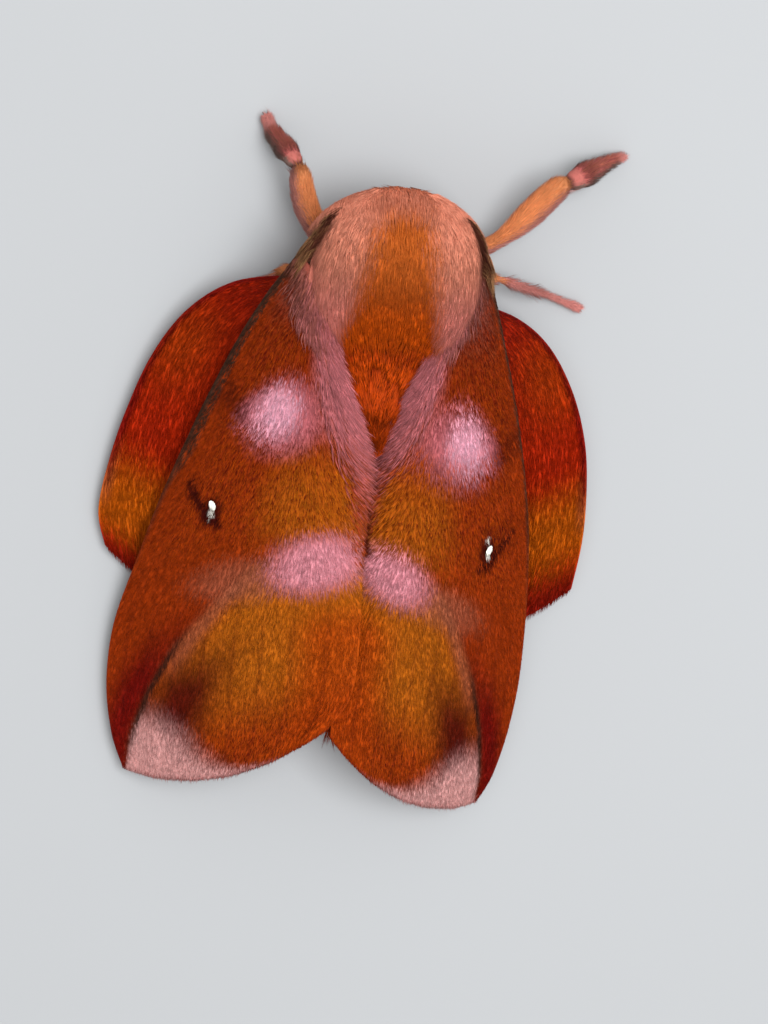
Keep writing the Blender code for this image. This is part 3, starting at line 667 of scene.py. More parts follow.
forewings = {
    side: wing_surface(side, FOREWING_EDGE[side], FOREWING_INNER[side], FOREWING_BULGE, roof, FOREWING_VEINS)
    for side in SIDES
}
for side, skin in forewings.items():
    wing(f"forewing_{side}", skin, forewing_tone, "forewing")
    seed = 20 + SIDES[side]
    u, v = spread(skin, *PILE_SPANS, PILE_COUNT, seed)
    rng = np.random.default_rng(seed)
    back, inwards = MARK_SHIFT[side]
    tips = forewing_tone(
        u - back * fade(u, 0.56, 0.1), v - inwards * fade(u, 0.37, 0.06) * fade(v, 0.8, 0.2),
        rng.uniform(-1, 1, len(u)),
    )
    # The pile is smoother on the pale corner.
    smooth = ramp(u, 0.8, 0.1) * fade(v, 0.75, 0.2)
    coat(
        f"forewing_{side}_pile", "forewing", skin, u, v, on_wing, SHORT_TUFT, wing_lie,
        length=PILE_LENGTH, width=PILE_WIDTH, lift=0.3, sink=0.05,
        tones=(mix(tips * 0.58, tips * 0.85, smooth), mix(tips * 1.12, tips, smooth)),
        flecks=0.15 - 0.06 * smooth, seed=seed,
    )
    # The white spot's scales lie over the pile.
    turn, far = rng.random(SPOT_COUNT) * 2 * np.pi, rng.random(SPOT_COUNT) ** 0.5
    u = SPOT[0] + back - 0.006 + SPOT_RADII[0] * far * np.cos(turn)
    v = SPOT[1] + SPOT_RADII[1] * far * np.sin(turn) + SPOT_SLANT * np.cos(turn) * far
    coat(
        f"forewing_{side}_spot", "forewing", skin, u, v, on_wing, SHORT_TUFT, wing_lie,
        length=0.26, width=0.14, lift=0.8, sink=-0.2, tones=(SPOT_WHITE, SPOT_WHITE), flecks=0.04, seed=seed,
    )


# Long hair on the forewings
# Behind the thorax each inner margin carries a dense pink fringe that slants back and in over the tuft
# between the wings, and paler hair covers the wing's root. Finer hair hangs from the inner margin and
# closes the seam between the wings. Short scales fringe the outer margin.
FRINGE_COUNT = 5000
FRINGE_LENGTH = 2.1
SEAM_COUNT = 1500
SEAM_LENGTH = 1.1
ROOT_HAIR_COUNT = 2400
ROOT_HAIR_LENGTH = 2.3
MARGIN_COUNT = 2600
MARGIN_LENGTH = 0.5
FRINGE_ROOT = paint(104, 28, 24)
FRINGE_TIP = paint(220, 130, 136)
FRINGE_BROWN = paint(178, 80, 40)


def fringe_lie(u, v):
    """The hair parts along a line near the inner margin: inside that line it turns in over the tuft."""
    inward = 0.8 * ramp(v, 0.80, 0.18) * (0.3 + 0.7 * ramp(u, 0.16, 0.16))
    return np.ones_like(u), 0.1 + inward - 0.35 * ramp(u, 0.34, 0.15)


def straight(u, v):
    """Hair lies straight along the surface."""
    return np.ones_like(u), 0 * u


for side, skin in forewings.items():
    seed = 40 + SIDES[side]
    rng = np.random.default_rng(seed)
    u, v = spread(
        skin, (0.03, 0.54), (0.74, 1.0), FRINGE_COUNT, seed,
        lambda u, v: soft((v - 0.74 - 0.16 * ramp(u, 0.2, 0.2)) / 0.2) * fade(u, 0.56, 0.2),
    )
    pink = soft(0.85 - 0.9 * abs(u - 0.18) / 0.24 + 0.5 * rng.uniform(-1, 1, len(u)))
    coat(
        f"forewing_{side}_fringe", "forewing", skin, u, v, on_wing, BENT_TUFT, fringe_lie,
        length=FRINGE_LENGTH * (1 - 0.6 * ramp(u, 0.28, 0.2)) * (0.55 + 0.45 * ramp(v, 0.76, 0.12)),
        width=0.1, lift=0.2, tones=(mix(WING_BROWN, FRINGE_ROOT, pink), mix(FRINGE_BROWN, FRINGE_TIP, pink)),
        clump=(8, 0.6), flecks=0.22, seed=seed,
    )
    # The seam hair's dark tone is partly its own and partly painted shade of the gap between the wings.
    u = rng.uniform(0.06, 0.52, SEAM_COUNT)
    v = rng.uniform(0.97, 0.995, SEAM_COUNT)
    coat(
        f"forewing_{side}_seam", "forewing", skin, u, v, on_wing, SHORT_TUFT,
        lambda u, v: (0.5 + 0 * u, 0.8 + 0 * u), length=SEAM_LENGTH, width=0.14, lift=-0.6,
        tones=(FRINGE_ROOT, mix(FRINGE_ROOT, FRINGE_BROWN, rng.random(SEAM_COUNT))), seed=seed + 3,
    )
    u, v = spread(
        skin, (0.0, 0.16), (0.0, 1.0), ROOT_HAIR_COUNT, seed + 5,
        lambda u, v: soft((0.05 + 0.12 * v - u) / 0.1) * (0.3 + ramp(v, 0.3, 0.5)),
    )
    length = ROOT_HAIR_LENGTH * rng.uniform(0.5, 1.2, len(u)) * (0.6 + 0.4 * v)
    tips = mix(mix(EDGE_GREY * 1.5, BASE_PINK, v), FRINGE_TIP * 1.1, rng.random(len(u)) * v)
    coat(
        f"forewing_{side}_root_hair", "forewing", skin, u, v, on_wing, BENT_TUFT,
        lambda u, v: (np.ones_like(u), 0.25 * v), length=length, width=0.11, lift=0.16,
        tones=(BASE_PINK * 0.5, tips), clump=(14, 0.55), seed=seed + 5,
    )
    v = rng.random(MARGIN_COUNT)
    u = np.full(MARGIN_COUNT, 0.99)
    tips = forewing_tone(u - 0.01, v, rng.uniform(-1, 1, len(u)))
    coat(
        f"forewing_{side}_margin", "forewing", skin, u, v, on_wing, SHORT_TUFT, straight,
        length=MARGIN_LENGTH, width=0.14, lift=-0.05, tones=(tips * 0.5, mix(tips, OUTER_RED, 0.4)),
        seed=seed + 9,
    )


# Hindwings
# The hindwings are softer and rounder, and show only beyond the leading edge of the forewings. They carry
# longer hair-like scales of a deep red, with an ochre band near the outer margin.
HINDWING_EDGE = {
    "left": (
        (7.2, 8.4), (11.9, 9.9), (15.4, 12.7), (17.9, 16.7),
        (19.6, 21.5), (20.7, 26.1), (21.2, 30.4), (20.4, 33.4),
    ),
    "right": (
        (7.4, 9.2), (12.0, 10.9), (15.2, 13.3), (17.7, 17.0),
        (19.3, 21.2), (20.0, 25.4), (20.2, 29.8), (19.8, 34.2),
    ),
}
HINDWING_INNER = (
    (4.4, 12.5), (4.0, 16.0), (3.7, 20.0), (3.4, 24.0),
    (3.2, 28.0), (3.1, 32.0), (3.2, 36.0), (4.0, 40.0),
)
HINDWING_BULGE = 2.0
HINDWING_DROP = 1.35
HINDWING_FLOOR = 0.85
HINDWING_SPREAD = 4.5
HINDWING_VEINS = ((0.10, 0.0), (0.25, 0.0), (0.40, 0.40), (0.53, 0.40), (0.67, 0.0), (0.84, 0.0))
HINDWING_PILE = 21000
HIND_RED = paint(196, 47, 3)
HIND_DEEP = paint(120, 9, 2)
HIND_OCHRE = paint(206, 102, 9)
HIND_RIM = paint(206, 108, 64)
# Fine dark streaks fan out from the wing's root.
STREAKS = np.random.default_rng(5).random(240)


def under_roof(side, out, station):
    """Height of the hindwing: under the forewing, then spreading out towards the floor."""
    reach = edge_reach(side, station)
    inside = roof(side, np.minimum(out, reach), station) - HINDWING_DROP
    edge = np.maximum(between(EDGE_HEIGHT, station) - HINDWING_DROP - HINDWING_FLOOR, 0)
    beyond = HINDWING_FLOOR + edge * np.exp(np.minimum(reach - out, 0) / HINDWING_SPREAD)
    return np.where(out <= reach, inside, beyond)


def hindwing_tone(u, v, grain):
    streaks = np.interp(v, np.linspace(0, 1, len(STREAKS)), STREAKS)
    band = soft((u - 0.62 + 0.04 * grain) / 0.15) * soft((0.95 - u + 0.04 * grain) / 0.12)
    return layered(
        HIND_DEEP,
        (HIND_RED, soft(0.3 + 0.4 * streaks + 0.25 * grain + 0.5 * u)),
        (HIND_OCHRE, 0.25 * soft(1 - abs(u - 0.35) / 0.2) * fade(v, 0.4, 0.3)),
        (HIND_OCHRE, 0.85 * band),
        (HIND_RIM, 0.8 * band * fade(v, 0.06, 0.06) * fade(u, 0.84, 0.1)),
        (HIND_DEEP, 0.85 * fade(v, 0.04, 0.03) * fade(u, 0.8, 0.1)),
        (HIND_DEEP, 0.75 * soft((u - 0.88 + 0.03 * grain) / 0.1)),
    )


for side in SIDES:
    skin = wing_surface(side, HINDWING_EDGE[side], HINDWING_INNER, HINDWING_BULGE, under_roof, HINDWING_VEINS)
    wing(f"hindwing_{side}", skin, hindwing_tone, "hindwing")
    seed = 60 + SIDES[side]
    u, v = spread(skin, *PILE_SPANS, HINDWING_PILE, seed, lambda u, v: 0.25 + fade(v, 0.6, 0.2))
    tips = hindwing_tone(u, v, np.random.default_rng(seed).uniform(-1, 1, len(u)))
    coat(
        f"hindwing_{side}_pile", "hindwing", skin, u, v, on_wing, SHORT_TUFT,
        lambda u, v: (np.ones_like(u), 0.15 + 0 * u), length=1.1, width=0.13, lift=0.12, sink=0.05,
        tones=(tips * 0.65, tips), flecks=0.1, seed=seed,
    )
# Body
# Thorax, head, abdomen, palps and legs are one soft hide, drawn together by growing one mesh over all of
# them. It is hidden nearly everywhere by the coat, and stays inside the solids by the coat's depth.
THORAX_STATIONS = (
    (0.3, -0.7, 0.9, 7.2, 8.3), (0.9, -0.7, 3.3, 6.3, 9.6), (2.0, -0.8, 5.3, 5.7, 10.9),
    (4.2, -0.8, 6.9, 4.7, 12.1), (6.8, -0.7, 7.6, 3.2, 12.9), (9.4, -0.6, 7.6, 2.4, 13.1),
    (12.0, -0.4, 6.8, 2.2, 12.8), (14.6, -0.2, 5.4, 2.9, 12.3), (17.0, 0.0, 3.7, 5.0, 11.9),
    (19.2, 0.0, 2.1, 7.8, 11.5), (21.6, 0.0, 1.1, 9.3, 11.2), (23.5, 0.0, 0.5, 9.9, 10.9),
)
ABDOMEN_STATIONS = (
    (15.0, 0.0, 4.2, 3.0, 7.6), (18.0, 0.0, 5.0, 1.4, 8.7), (22.0, 0.0, 5.6, 0.3, 9.1),
    (26.0, 0.0, 5.7, -0.2, 9.0), (30.0, 0.0, 5.5, -0.3, 8.6), (34.0, 0.0, 5.0, -0.3, 7.9),
    (38.0, 0.0, 4.2, -0.1, 7.0), (42.0, 0.0, 3.1, 0.7, 5.9), (45.0, 0.0, 1.8, 1.8, 4.8),
    (46.4, 0.0, 0.5, 3.0, 3.8),
)
THORAX_DEPTH = 0.95
ABDOMEN_DEPTH = 0.3
HEAD_SHIFT = -0.7
HEAD_CENTRE = np.array((HEAD_SHIFT, 4.6, 3.6))
HEAD_RADII = np.array((3.1, 2.5, 2.5))
HEAD_DEPTH = 0.35
LEG_DEPTH = 0.22
PALP_DEPTH = 0.2
LEG_ROUTES = {
    "foreleg_left": (
        (3.0, 7.4, 3.6, 1.0), (4.5, 6.4, 2.8, 1.05), (5.5, 4.9, 2.9, 1.1), (6.4, 3.6, 3.2, 1.15),
        (7.05, 2.0, 3.6, 1.1), (7.35, 0.7, 3.9, 1.0), (7.6, 0.1, 3.7, 0.7), (8.0, -0.45, 3.3, 0.98),
        (8.75, -1.3, 2.3, 0.9), (9.5, -2.05, 1.3, 0.72), (9.95, -2.8, 0.7, 0.62), (10.35, -3.7, 0.55, 0.64),
    ),
    "foreleg_right": (
        (-3.8, 8.0, 3.4, 1.0), (-5.6, 7.2, 2.6, 1.0), (-8.0, 5.7, 2.7, 0.85), (-9.9, 4.4, 2.9, 0.8),
        (-11.6, 2.5, 3.6, 1.2), (-13.1, 0.6, 4.1, 1.2), (-14.1, -0.4, 4.0, 1.1), (-14.6, -0.6, 3.8, 0.75),
        (-15.4, -1.0, 3.4, 1.1), (-17.1, -1.85, 2.2, 0.9), (-18.4, -2.5, 1.2, 0.62),
        (-19.3, -2.9, 0.65, 0.54), (-20.0, -3.1, 0.5, 0.5),
    ),
    "midleg_left": (
        (3.0, 10.2, 3.2, 0.95), (4.4, 10.0, 2.1, 0.95), (6.0, 9.4, 2.2, 0.9), (7.6, 8.8, 2.8, 0.8),
        (8.3, 9.0, 2.7, 0.5), (9.4, 10.2, 2.1, 0.6), (10.8, 12.0, 1.2, 0.5), (11.5, 13.2, 0.6, 0.5),
        (11.9, 15.0, 0.45, 0.5),
    ),
    "midleg_right": (
        (-3.0, 10.2, 3.2, 0.95), (-4.4, 10.0, 2.1, 0.95), (-6.6, 9.0, 2.4, 0.9), (-8.8, 8.0, 3.0, 0.8),
        (-10.0, 7.8, 3.0, 0.5), (-11.5, 8.2, 2.6, 0.5), (-12.9, 8.6, 2.0, 0.42), (-14.8, 9.05, 1.1, 0.42),
        (-16.5, 9.6, 0.55, 0.45), (-17.8, 10.0, 0.5, 0.56),
    ),
    "hindleg_left": (
        (2.8, 13.0, 3.2, 0.95), (4.2, 13.4, 2.0, 0.95), (6.2, 13.2, 2.2, 0.95), (8.4, 13.6, 2.9, 0.8),
        (8.9, 14.6, 2.6, 0.5), (9.2, 16.8, 1.6, 0.6), (9.3, 18.8, 0.8, 0.5), (9.3, 20.2, 0.5, 0.5),
        (9.2, 22.2, 0.45, 0.5),
    ),
}
LEG_ROUTES["hindleg_right"] = tuple((-x, y, z, r) for x, y, z, r in LEG_ROUTES["hindleg_left"])
PALP_ROUTE = ((0.75, 4.2, 1.9, 0.5), (0.85, 3.0, 1.3, 0.55), (0.9, 2.3, 1.6, 0.5), (0.9, 2.0, 2.3, 0.32))
HIDE_GRAIN = 0.2
ALL_ROUND = (-np.pi, np.pi)
# The thorax's tones. The stripe has a middle and a half width at stations along the body.
SALMON = paint(218, 137, 112)
SALMON_DEEP = paint(192, 110, 86)
COLLAR_RIM = paint(168, 94, 72)
# Mauve is the hair's own hue, made lighter as painted light on the thorax's rear slopes, which face away from
# the lamp.
MAUVE = paint(234, 138, 128)
STRIPE_FRONT = paint(194, 98, 40)
STRIPE_BACK = paint(197, 80, 7)
STRIPE_MIDDLE = ((0.0, -0.7), (7.0, -0.6), (14.0, -0.2), (24.0, 0.1))
STRIPE_HALF_WIDTH = (
    (0.4, 0.5), (1.5, 1.3), (3.6, 2.1), (5.3, 2.6), (7.0, 3.0), (8.7, 3.7), (10.5, 4.6), (12.0, 7.0),
)
# Partly the shoulder's own dark hair, partly painted shade of the hollow below the collar.
SHOULDER_DARK_AND_SHADE = paint(80, 42, 32)
SHOULDER_OLIVE = paint(184, 142, 94)
SHOULDER_END = {1: 5.0, -1: 7.5}
TUFT_DEEP = paint(140, 36, 3)
BELLY_BROWN = paint(196, 124, 84)
ABDOMEN_ORANGE = paint(204, 100, 30)
ABDOMEN_BAND = paint(150, 52, 14)
ABDOMEN_SEGMENT = 4.0
FACE_BROWN = paint(150, 84, 56)
FACE_PINK = paint(212, 134, 118)
LEG_ORANGE = paint(234, 146, 94)
LEG_PINK = paint(206, 112, 108)
FOOT_PINK = paint(222, 144, 136)
LEG_BROWN = paint(150, 118, 108)
LEG_DARK = paint(66, 36, 30)
KNEES = {
    "foreleg_left": 0.545, "foreleg_right": 0.583, "midleg_left": 0.5, "midleg_right": 0.44,
    "hindleg_left": 0.5, "hindleg_right": 0.5,
}


def body_surface(stations, depth):
    """A body's hide as a function of the station, the angle round from the top and the rise above it."""
    place = [(row[0], k / (len(stations) - 1)) for k, row in enumerate(stations)]

    def surface(u, v, rise=0.0):
        row = along(stations, between(place, u))
        _, shift, half_width, low, high = np.moveaxis(row, -1, 0)
        rise = rise - depth
        half_height = np.maximum((high - low) / 2 + rise, 0.05)
        half_width = np.maximum(half_width + rise, 0.05)
        return np.stack([
            shift + half_width * np.sin(v), np.asarray(u, float) + 0 * v,
            (high + low) / 2 + half_height * np.cos(v),
        ], axis=-1)
    return surface


def limb_surface(route, depth):
    """A limb's hide as a function of the share along it, the angle round it and the rise above it."""
    def surface(u, v, rise=0.0):
        x, y, z, radius = np.moveaxis(along(route, u), -1, 0)
        ahead = unit((along(route, u + 0.01) - along(route, u - 0.01))[..., :3])
        aside = unit(np.cross(ahead, (0, 0, 1)))
        up = np.cross(aside, ahead)
        radius = np.maximum(radius - depth + rise, 0.05)
        round_it = aside * np.sin(v)[..., None] + up * np.cos(v)[..., None]
        return np.stack([x, y, z], axis=-1) + radius[..., None] * round_it
    return surface


def head_surface(u, v, rise=0.0):
    """The head's hide as a function of the angle from its face, the angle round it and the rise above it."""
    face = np.stack([np.sin(u) * np.sin(v), -np.cos(u) + 0 * v, np.sin(u) * np.cos(v)], axis=-1)
    return HEAD_CENTRE + face * (HEAD_RADII - HEAD_DEPTH + np.asarray(rise)[..., None])


def add_rings(bm, surface, u_values, sides):
    """A closed skin over rings of a surface, capped at both ends."""
    angles = np.arange(sides) / sides * 2 * np.pi
    loops = []
    for u in u_values:
        ring = [bm.verts.new(place) for place in surface(np.full(sides, float(u)), angles)]
        loops.append([bm.edges.new(pair) for pair in zip(ring, ring[1:] + ring[:1])])
    for first, second in zip(loops, loops[1:]):
        bmesh.ops.bridge_loops(bm, edges=first + second)
    for loop in (loops[0], loops[-1]):
        bmesh.ops.contextual_create(bm, geom=loop)


def palp_route(side):
    return [(HEAD_SHIFT + x * SIDES[side], y, z, r) for x, y, z, r in PALP_ROUTE]


def hide():
    """The body's skin: one mesh grown over all its parts."""
    bm = bmesh.new()
    for surface, rings, sides, _ in hide_parts():
        add_rings(bm, surface, rings, sides)
    bmesh.ops.recalc_face_normals(bm, faces=bm.faces)
    in_frame(bm)
    thing = stand("hide", finished(bm, "hide"))
    grown = thing.modifiers.new("grown", "REMESH")
    grown.mode = "VOXEL"
    grown.voxel_size = HIDE_GRAIN * MM
    smoothed = thing.modifiers.new("smoothed", "SMOOTH")
    smoothed.iterations = 3
    whole = bpy.data.meshes.new_from_object(thing.evaluated_get(bpy.context.evaluated_depsgraph_get()))
    whole.name = "body_skin"
    bpy.data.objects.remove(thing)
    return whole


def stripe_at(x, station, grain):
    """1 on the orange stripe of the thorax and 0 beside it, at places in plan."""
    inside = between(STRIPE_HALF_WIDTH, station) - abs(x - between(STRIPE_MIDDLE, station))
    return soft(0.5 + inside / 2.2 + 0.45 * grain)


def on_stripe(u, v, grain):
    """1 on the stripe and 0 beside it, at stations and angles round the thorax."""
    shift, half_width = (between([(row[0], row[k]) for row in THORAX_STATIONS], u) for k in (1, 2))
    return stripe_at(shift + half_width * np.sin(v), u, grain) * fade(abs(v), 1.75, 0.35)


def thorax_tone(u, v, grain):
    """Thorax: salmon sides, an orange stripe that widens back over the tuft, and mauve beside the wings."""
    under = abs(v) / np.pi * 180
    stripe = layered(
        STRIPE_FRONT,
        (STRIPE_BACK, ramp(u, 3, 8)),
        (TUFT_DEEP, soft((u - 11.5 + 1.5 * grain) / 4)),
        (WING_BROWN, 0.35 * soft(-grain - 0.2) * ramp(u, 5, 5)),
    )
    shoulder_end = np.where(v > 0, SHOULDER_END[1], SHOULDER_END[-1])
    shoulder = soft((under - 66 + 6 * grain) / 14) * fade(u, shoulder_end, 2) * ramp(u, 1.8, 1.5)
    by_root = 0.7 * soft((under - 62 + 8 * grain) / 16) * ramp(u, 4.5, 2) * fade(u, 13, 3)
    return layered(
        SALMON_DEEP,
        (SALMON, soft(0.7 + 0.5 * grain)),
        # Mauve comes in towards the back, painted lighter there as painted light on slopes that face away
        # from the lamp.
        (MAUVE, ramp(u, 4, 5) * (0.6 + 0.4 * grain)),
        (stripe, on_stripe(u, v, grain)),
        # The dark shoulder is partly dark hair and partly painted shade of the hollow below the collar.
        (SHOULDER_DARK_AND_SHADE, shoulder),
        (BASE_PINK, by_root),
        (SHOULDER_OLIVE, soft((under - 86 + 6 * grain) / 14) * ramp(u, 3.2, 2)),
        (mix(BELLY_BROWN, SALMON_DEEP, soft(0.4 + 0.6 * grain)), ramp(under, 96, 20)),
    )


def abdomen_tone(u, v, grain):
    """Abdomen: orange, each segment darker in front."""
    segment = (u - 15 + 0.25 * grain) / ABDOMEN_SEGMENT % 1
    return layered(
        ABDOMEN_ORANGE,
        (ABDOMEN_BAND, 0.7 * soft(1 - segment / 0.35) + 0.2 * grain),
        (BELLY_BROWN, 0.7 * ramp(abs(v), 2.0, 0.6)),
    )


def head_tone(u, v, grain):
    """Head: pink-brown, darker round the mouth."""
    return layered(
        FACE_BROWN,
        (FACE_PINK, soft(0.5 + np.cos(v) + 0.4 * grain)),
        (LEG_DARK, 0.6 * ramp(abs(v), 2.2, 0.5) * fade(u, 1.4, 0.5)),
    )


def leg_tone(name):
    """Legs: an orange thigh, a dark knee, a pink shin and a pale foot, all browner behind and below."""
    knee = KNEES[name]
    pale = 0.0 if name.startswith("foreleg") else 0.8
    rear = -SIDES[name.split("_")[1]]

    def tone(u, v, grain):
        under = soft((np.maximum(abs(v) - 0.7, v * rear + 0.6) - 0.8 + 0.4 * grain) / 0.6)
        thigh = mix(LEG_ORANGE, mix(LEG_BROWN, LEG_PINK, 0.4), under)
        shin = layered(
            LEG_PINK,
            (LEG_ORANGE, soft(0.2 + 0.3 * grain)),
            (LEG_BROWN * 0.7, under),
            (FOOT_PINK, np.maximum(ramp(u - knee, 0.24, 0.1), pale)),
        )
        ring = 0.9 * soft(1.2 - abs(u - knee - 0.01) / 0.035) * (1 - pale)
        return layered(thigh, (shin, ramp(u, knee, 0.02)), (LEG_DARK, ring))
    return tone


def hide_parts():
    """Every part of the hide: its surface, how its rings lie along it and round it, and its tone."""
    yield body_surface(THORAX_STATIONS, THORAX_DEPTH), np.linspace(0.6, 17.5, 36), 40, thorax_tone
    yield body_surface(ABDOMEN_STATIONS, ABDOMEN_DEPTH), np.linspace(15.0, 46.3, 60), 40, abdomen_tone
    yield head_surface, np.linspace(0.05, np.pi - 0.05, 18), 32, head_tone
    for name, route in LEG_ROUTES.items():
        yield limb_surface(route, LEG_DEPTH), np.linspace(0, 1, 8 * len(route)), 16, leg_tone(name)
    for side in SIDES:
        yield limb_surface(palp_route(side), PALP_DEPTH), np.linspace(0, 1, 30), 16, head_tone


def paint_hide(mesh):
    """Gives each point of the hide the tone of the nearest part."""
    spots, tones = [], []
    for surface, rings, sides, tone in hide_parts():
        u, v = (grid.ravel() for grid in np.meshgrid(rings, np.arange(sides) / sides * 2 * np.pi - np.pi))
        spots.append(surface(u, v))
        tones.append(tone(u, v, 0 * u))
    spots, tones = np.concatenate(spots), np.concatenate(tones)
    tree = KDTree(len(spots))
    for k, spot in enumerate(spots):
        tree.insert((Vector(spot) + ORIGIN) * MM, k)
    tree.balance()
    set_tone(mesh, tones[[tree.find(vert.co)[1] for vert in mesh.vertices]])


body_skin = hide()
paint_hide(body_skin)
show(
    "body_skin", body_skin, grained_finish("hide", 0.75, 0.2, (2600, 3), (0.5, 0.35), (0.8, 0.00015)),
    "thorax_coat", "thorax", "head", "abdomen", "palp_left", "palp_right", *LEG_ROUTES,
)


# Coat of the thorax
# The thorax carries a thick smooth coat of fine hair that lies back from the front, covers the neck and
# the wings' roots, and ends in a coarse orange tuft that fills the notch between the forewings.
ABOVE_WING = np.radians(86)
COAT_ROOM = 0.08
COAT_WIDTH = 0.12
# The layers of hair on its back: count, tuft, length, lift, last station and seed.
LAYERS = {
    "under": (20000, SHORT_TUFT, 2.3, 0.17, 19.0, 71),
    "over": (15500, BENT_TUFT, 3.2, 0.2, 14.0, 72),
}
SIDE_COUNT = 8000
SHOULDER_COUNT = 3000
COLLAR_COUNT = 8000
TUFT_COUNT = 6500
TUFT_ROWS = (13.7, 15.8, 18.2, 20.8, 22.8)
TUFT_SPAN = (11.6, 23.3)
# The tuft's roots are dark, partly their own tone and partly painted shade of the gaps between its rows.
TUFT_ROOT_AND_SHADE = paint(84, 8, 2)
TUFT_TIP = paint(178, 66, 8)
# The collar is a dome of hair over the front of the thorax. Its profile, from the fringe over the head up
# and back, is given as station and height, and it turns round a centre that is given the same way.
COLLAR_PROFILE = (
    (2.3, 4.6), (1.5, 5.2), (0.9, 6.0), (0.45, 6.9), (0.2, 7.9),
    (0.4, 9.0), (1.1, 10.0), (2.2, 10.9), (3.8, 11.6), (5.6, 12.1),
)
COLLAR_CENTRE = (6.6, 7.8)
COLLAR_WIDTH = 1.28
COLLAR_TURN = 1.05
COLLAR_DEPTH = 0.5
COLLAR_REACH = 5.5
COLLAR_PARTING = 0.24


def inner_reach(side, station):
    """How far out the inner margin of the forewing is, and 0 where it is past the middle."""
    return np.maximum(between([(y, x) for x, y in FOREWING_INNER[side]], station), 0)


def root_station(side, out):
    """The station of the forewing's root at a distance out."""
    return between((FOREWING_INNER[side][0], FOREWING_EDGE[side][0]), out)


def off_wings(above):
    """Keeps the points of tufts above the forewings, or below the hindwings, where the wings are."""
    def clear(points):
        points = points.copy()
        for side, turn in SIDES.items():
            out, station = points[:, 0] * turn, points[:, 1]
            near = (station > root_station(side, out) - 0.4) & (out > inner_reach(side, station) - 0.1)
            near = near & (out < edge_reach(side, station) + 0.1)
            if above:
                height = np.maximum(points[:, 2], roof(side, out, station) + COAT_ROOM)
            else:
                height = np.minimum(points[:, 2], under_roof(side, out, station) - WING_THICKNESS - COAT_ROOM)
            points[:, 2] = np.where(near, height, points[:, 2])
        return points
    return clear


def over_wings(places):
    """1 at places on the body that the forewings leave free, and 0 at those that lie under a forewing."""
    free = np.ones(len(places))
    for side, turn in SIDES.items():
        out, station = places[:, 0] * turn, places[:, 1]
        sunk = roof(side, out, station) - places[:, 2]
        behind = ramp(station, root_station(side, out), 0.6)
        free = free * (1 - behind * ramp(out, inner_reach(side, station), 0.6) * ramp(sunk, 0.3, 0.5))
    return free


def on_body(first, last):
    """Places on the unwrap of a body between two stations."""
    def wrap(u, v):
        return 0.02 + 0.96 * (u - first) / (last - first), 0.02 + 0.96 * (v / (2 * np.pi) + 0.5)
    return wrap


def back_lie(u, v):
    """Hair lies back, and turns in over the back behind the wings' roots."""
    return np.ones_like(u), -0.16 * np.sign(v) * ramp(u, 8, 5)


def hair_tones(tone, u, v, seed, low=0.62, high=1.1):
    """Tones of hair at its root and tip, from the tone of the skin under it with a random grain."""
    tips = tone(u, v, np.random.default_rng(seed).uniform(-1, 1, len(u)))
    return tips * low, tips * high


def collar_surface(u, v, rise=0.0):
    """The collar as a function of the share up its profile, the share across it and the rise above it."""
    station, height = np.moveaxis(along(COLLAR_PROFILE, u), -1, 0)
    grow = 1 + (np.asarray(rise) - COLLAR_DEPTH) / COLLAR_REACH
    reach = (COLLAR_CENTRE[0] - station) * grow
    turn = v * COLLAR_TURN
    return np.stack([
        HEAD_SHIFT + COLLAR_WIDTH * reach * np.sin(turn), COLLAR_CENTRE[0] - reach * np.cos(turn),
        COLLAR_CENTRE[1] + (height - COLLAR_CENTRE[1]) * grow - 0.5 * v**2,
    ], axis=-1)


def layer_end(v, last):
    """Where a layer of hair ends: further back beside the middle of the back than on it."""
    return last + 2.5 * ramp(abs(v), 0.5, 0.3)


def in_rows(u, v):
    """The tuft's strands grow in uneven rows, each over the dark roots of the next, whose tone is partly
    painted shade of the gaps between the rows.
    """
    wave = 0.6 * np.sin(2.3 * v + 1) + 0.35 * np.sin(5.1 * v + u) + 0.2 * np.sin(13 * v)
    return sum(soft(1.3 - abs(u + wave - row) / 0.6) for row in TUFT_ROWS)


thorax_hide = body_surface(THORAX_STATIONS, THORAX_DEPTH)
for layer, (count, shape, length, lift, last, seed) in LAYERS.items():
    u, v = spread(
        thorax_hide, (0.8, 20.0), (-ABOVE_WING, ABOVE_WING), count, seed,
        lambda u, v: soft((layer_end(v, last) - u) / 5) * over_wings(thorax_hide(u, v)),
    )
    stripe = on_stripe(u, v, 0) * ramp(u, 4, 5)
    by_wing = ramp(abs(v), 1.05, 0.25) * ramp(u, 3.5, 1.5)
    length = length * (0.6 + 0.4 * ramp(u, 1, 4)) * (1 - 0.45 * stripe)
    length = length * (0.7 + 0.3 * soft((layer_end(v, last) - u) / 4)) * (1 - 0.35 * by_wing)
    coat(
        f"thorax_{layer}_coat", "thorax_coat", thorax_hide, u, v, on_body(0, 24), shape, back_lie,
        length, COAT_WIDTH, lift * (1 + 0.6 * stripe), hair_tones(thorax_tone, u, v, seed, 0.8),
        clump=(12, 0.3), clear=off_wings(True), flat=0.35, flecks=0.07, seed=seed,
    )
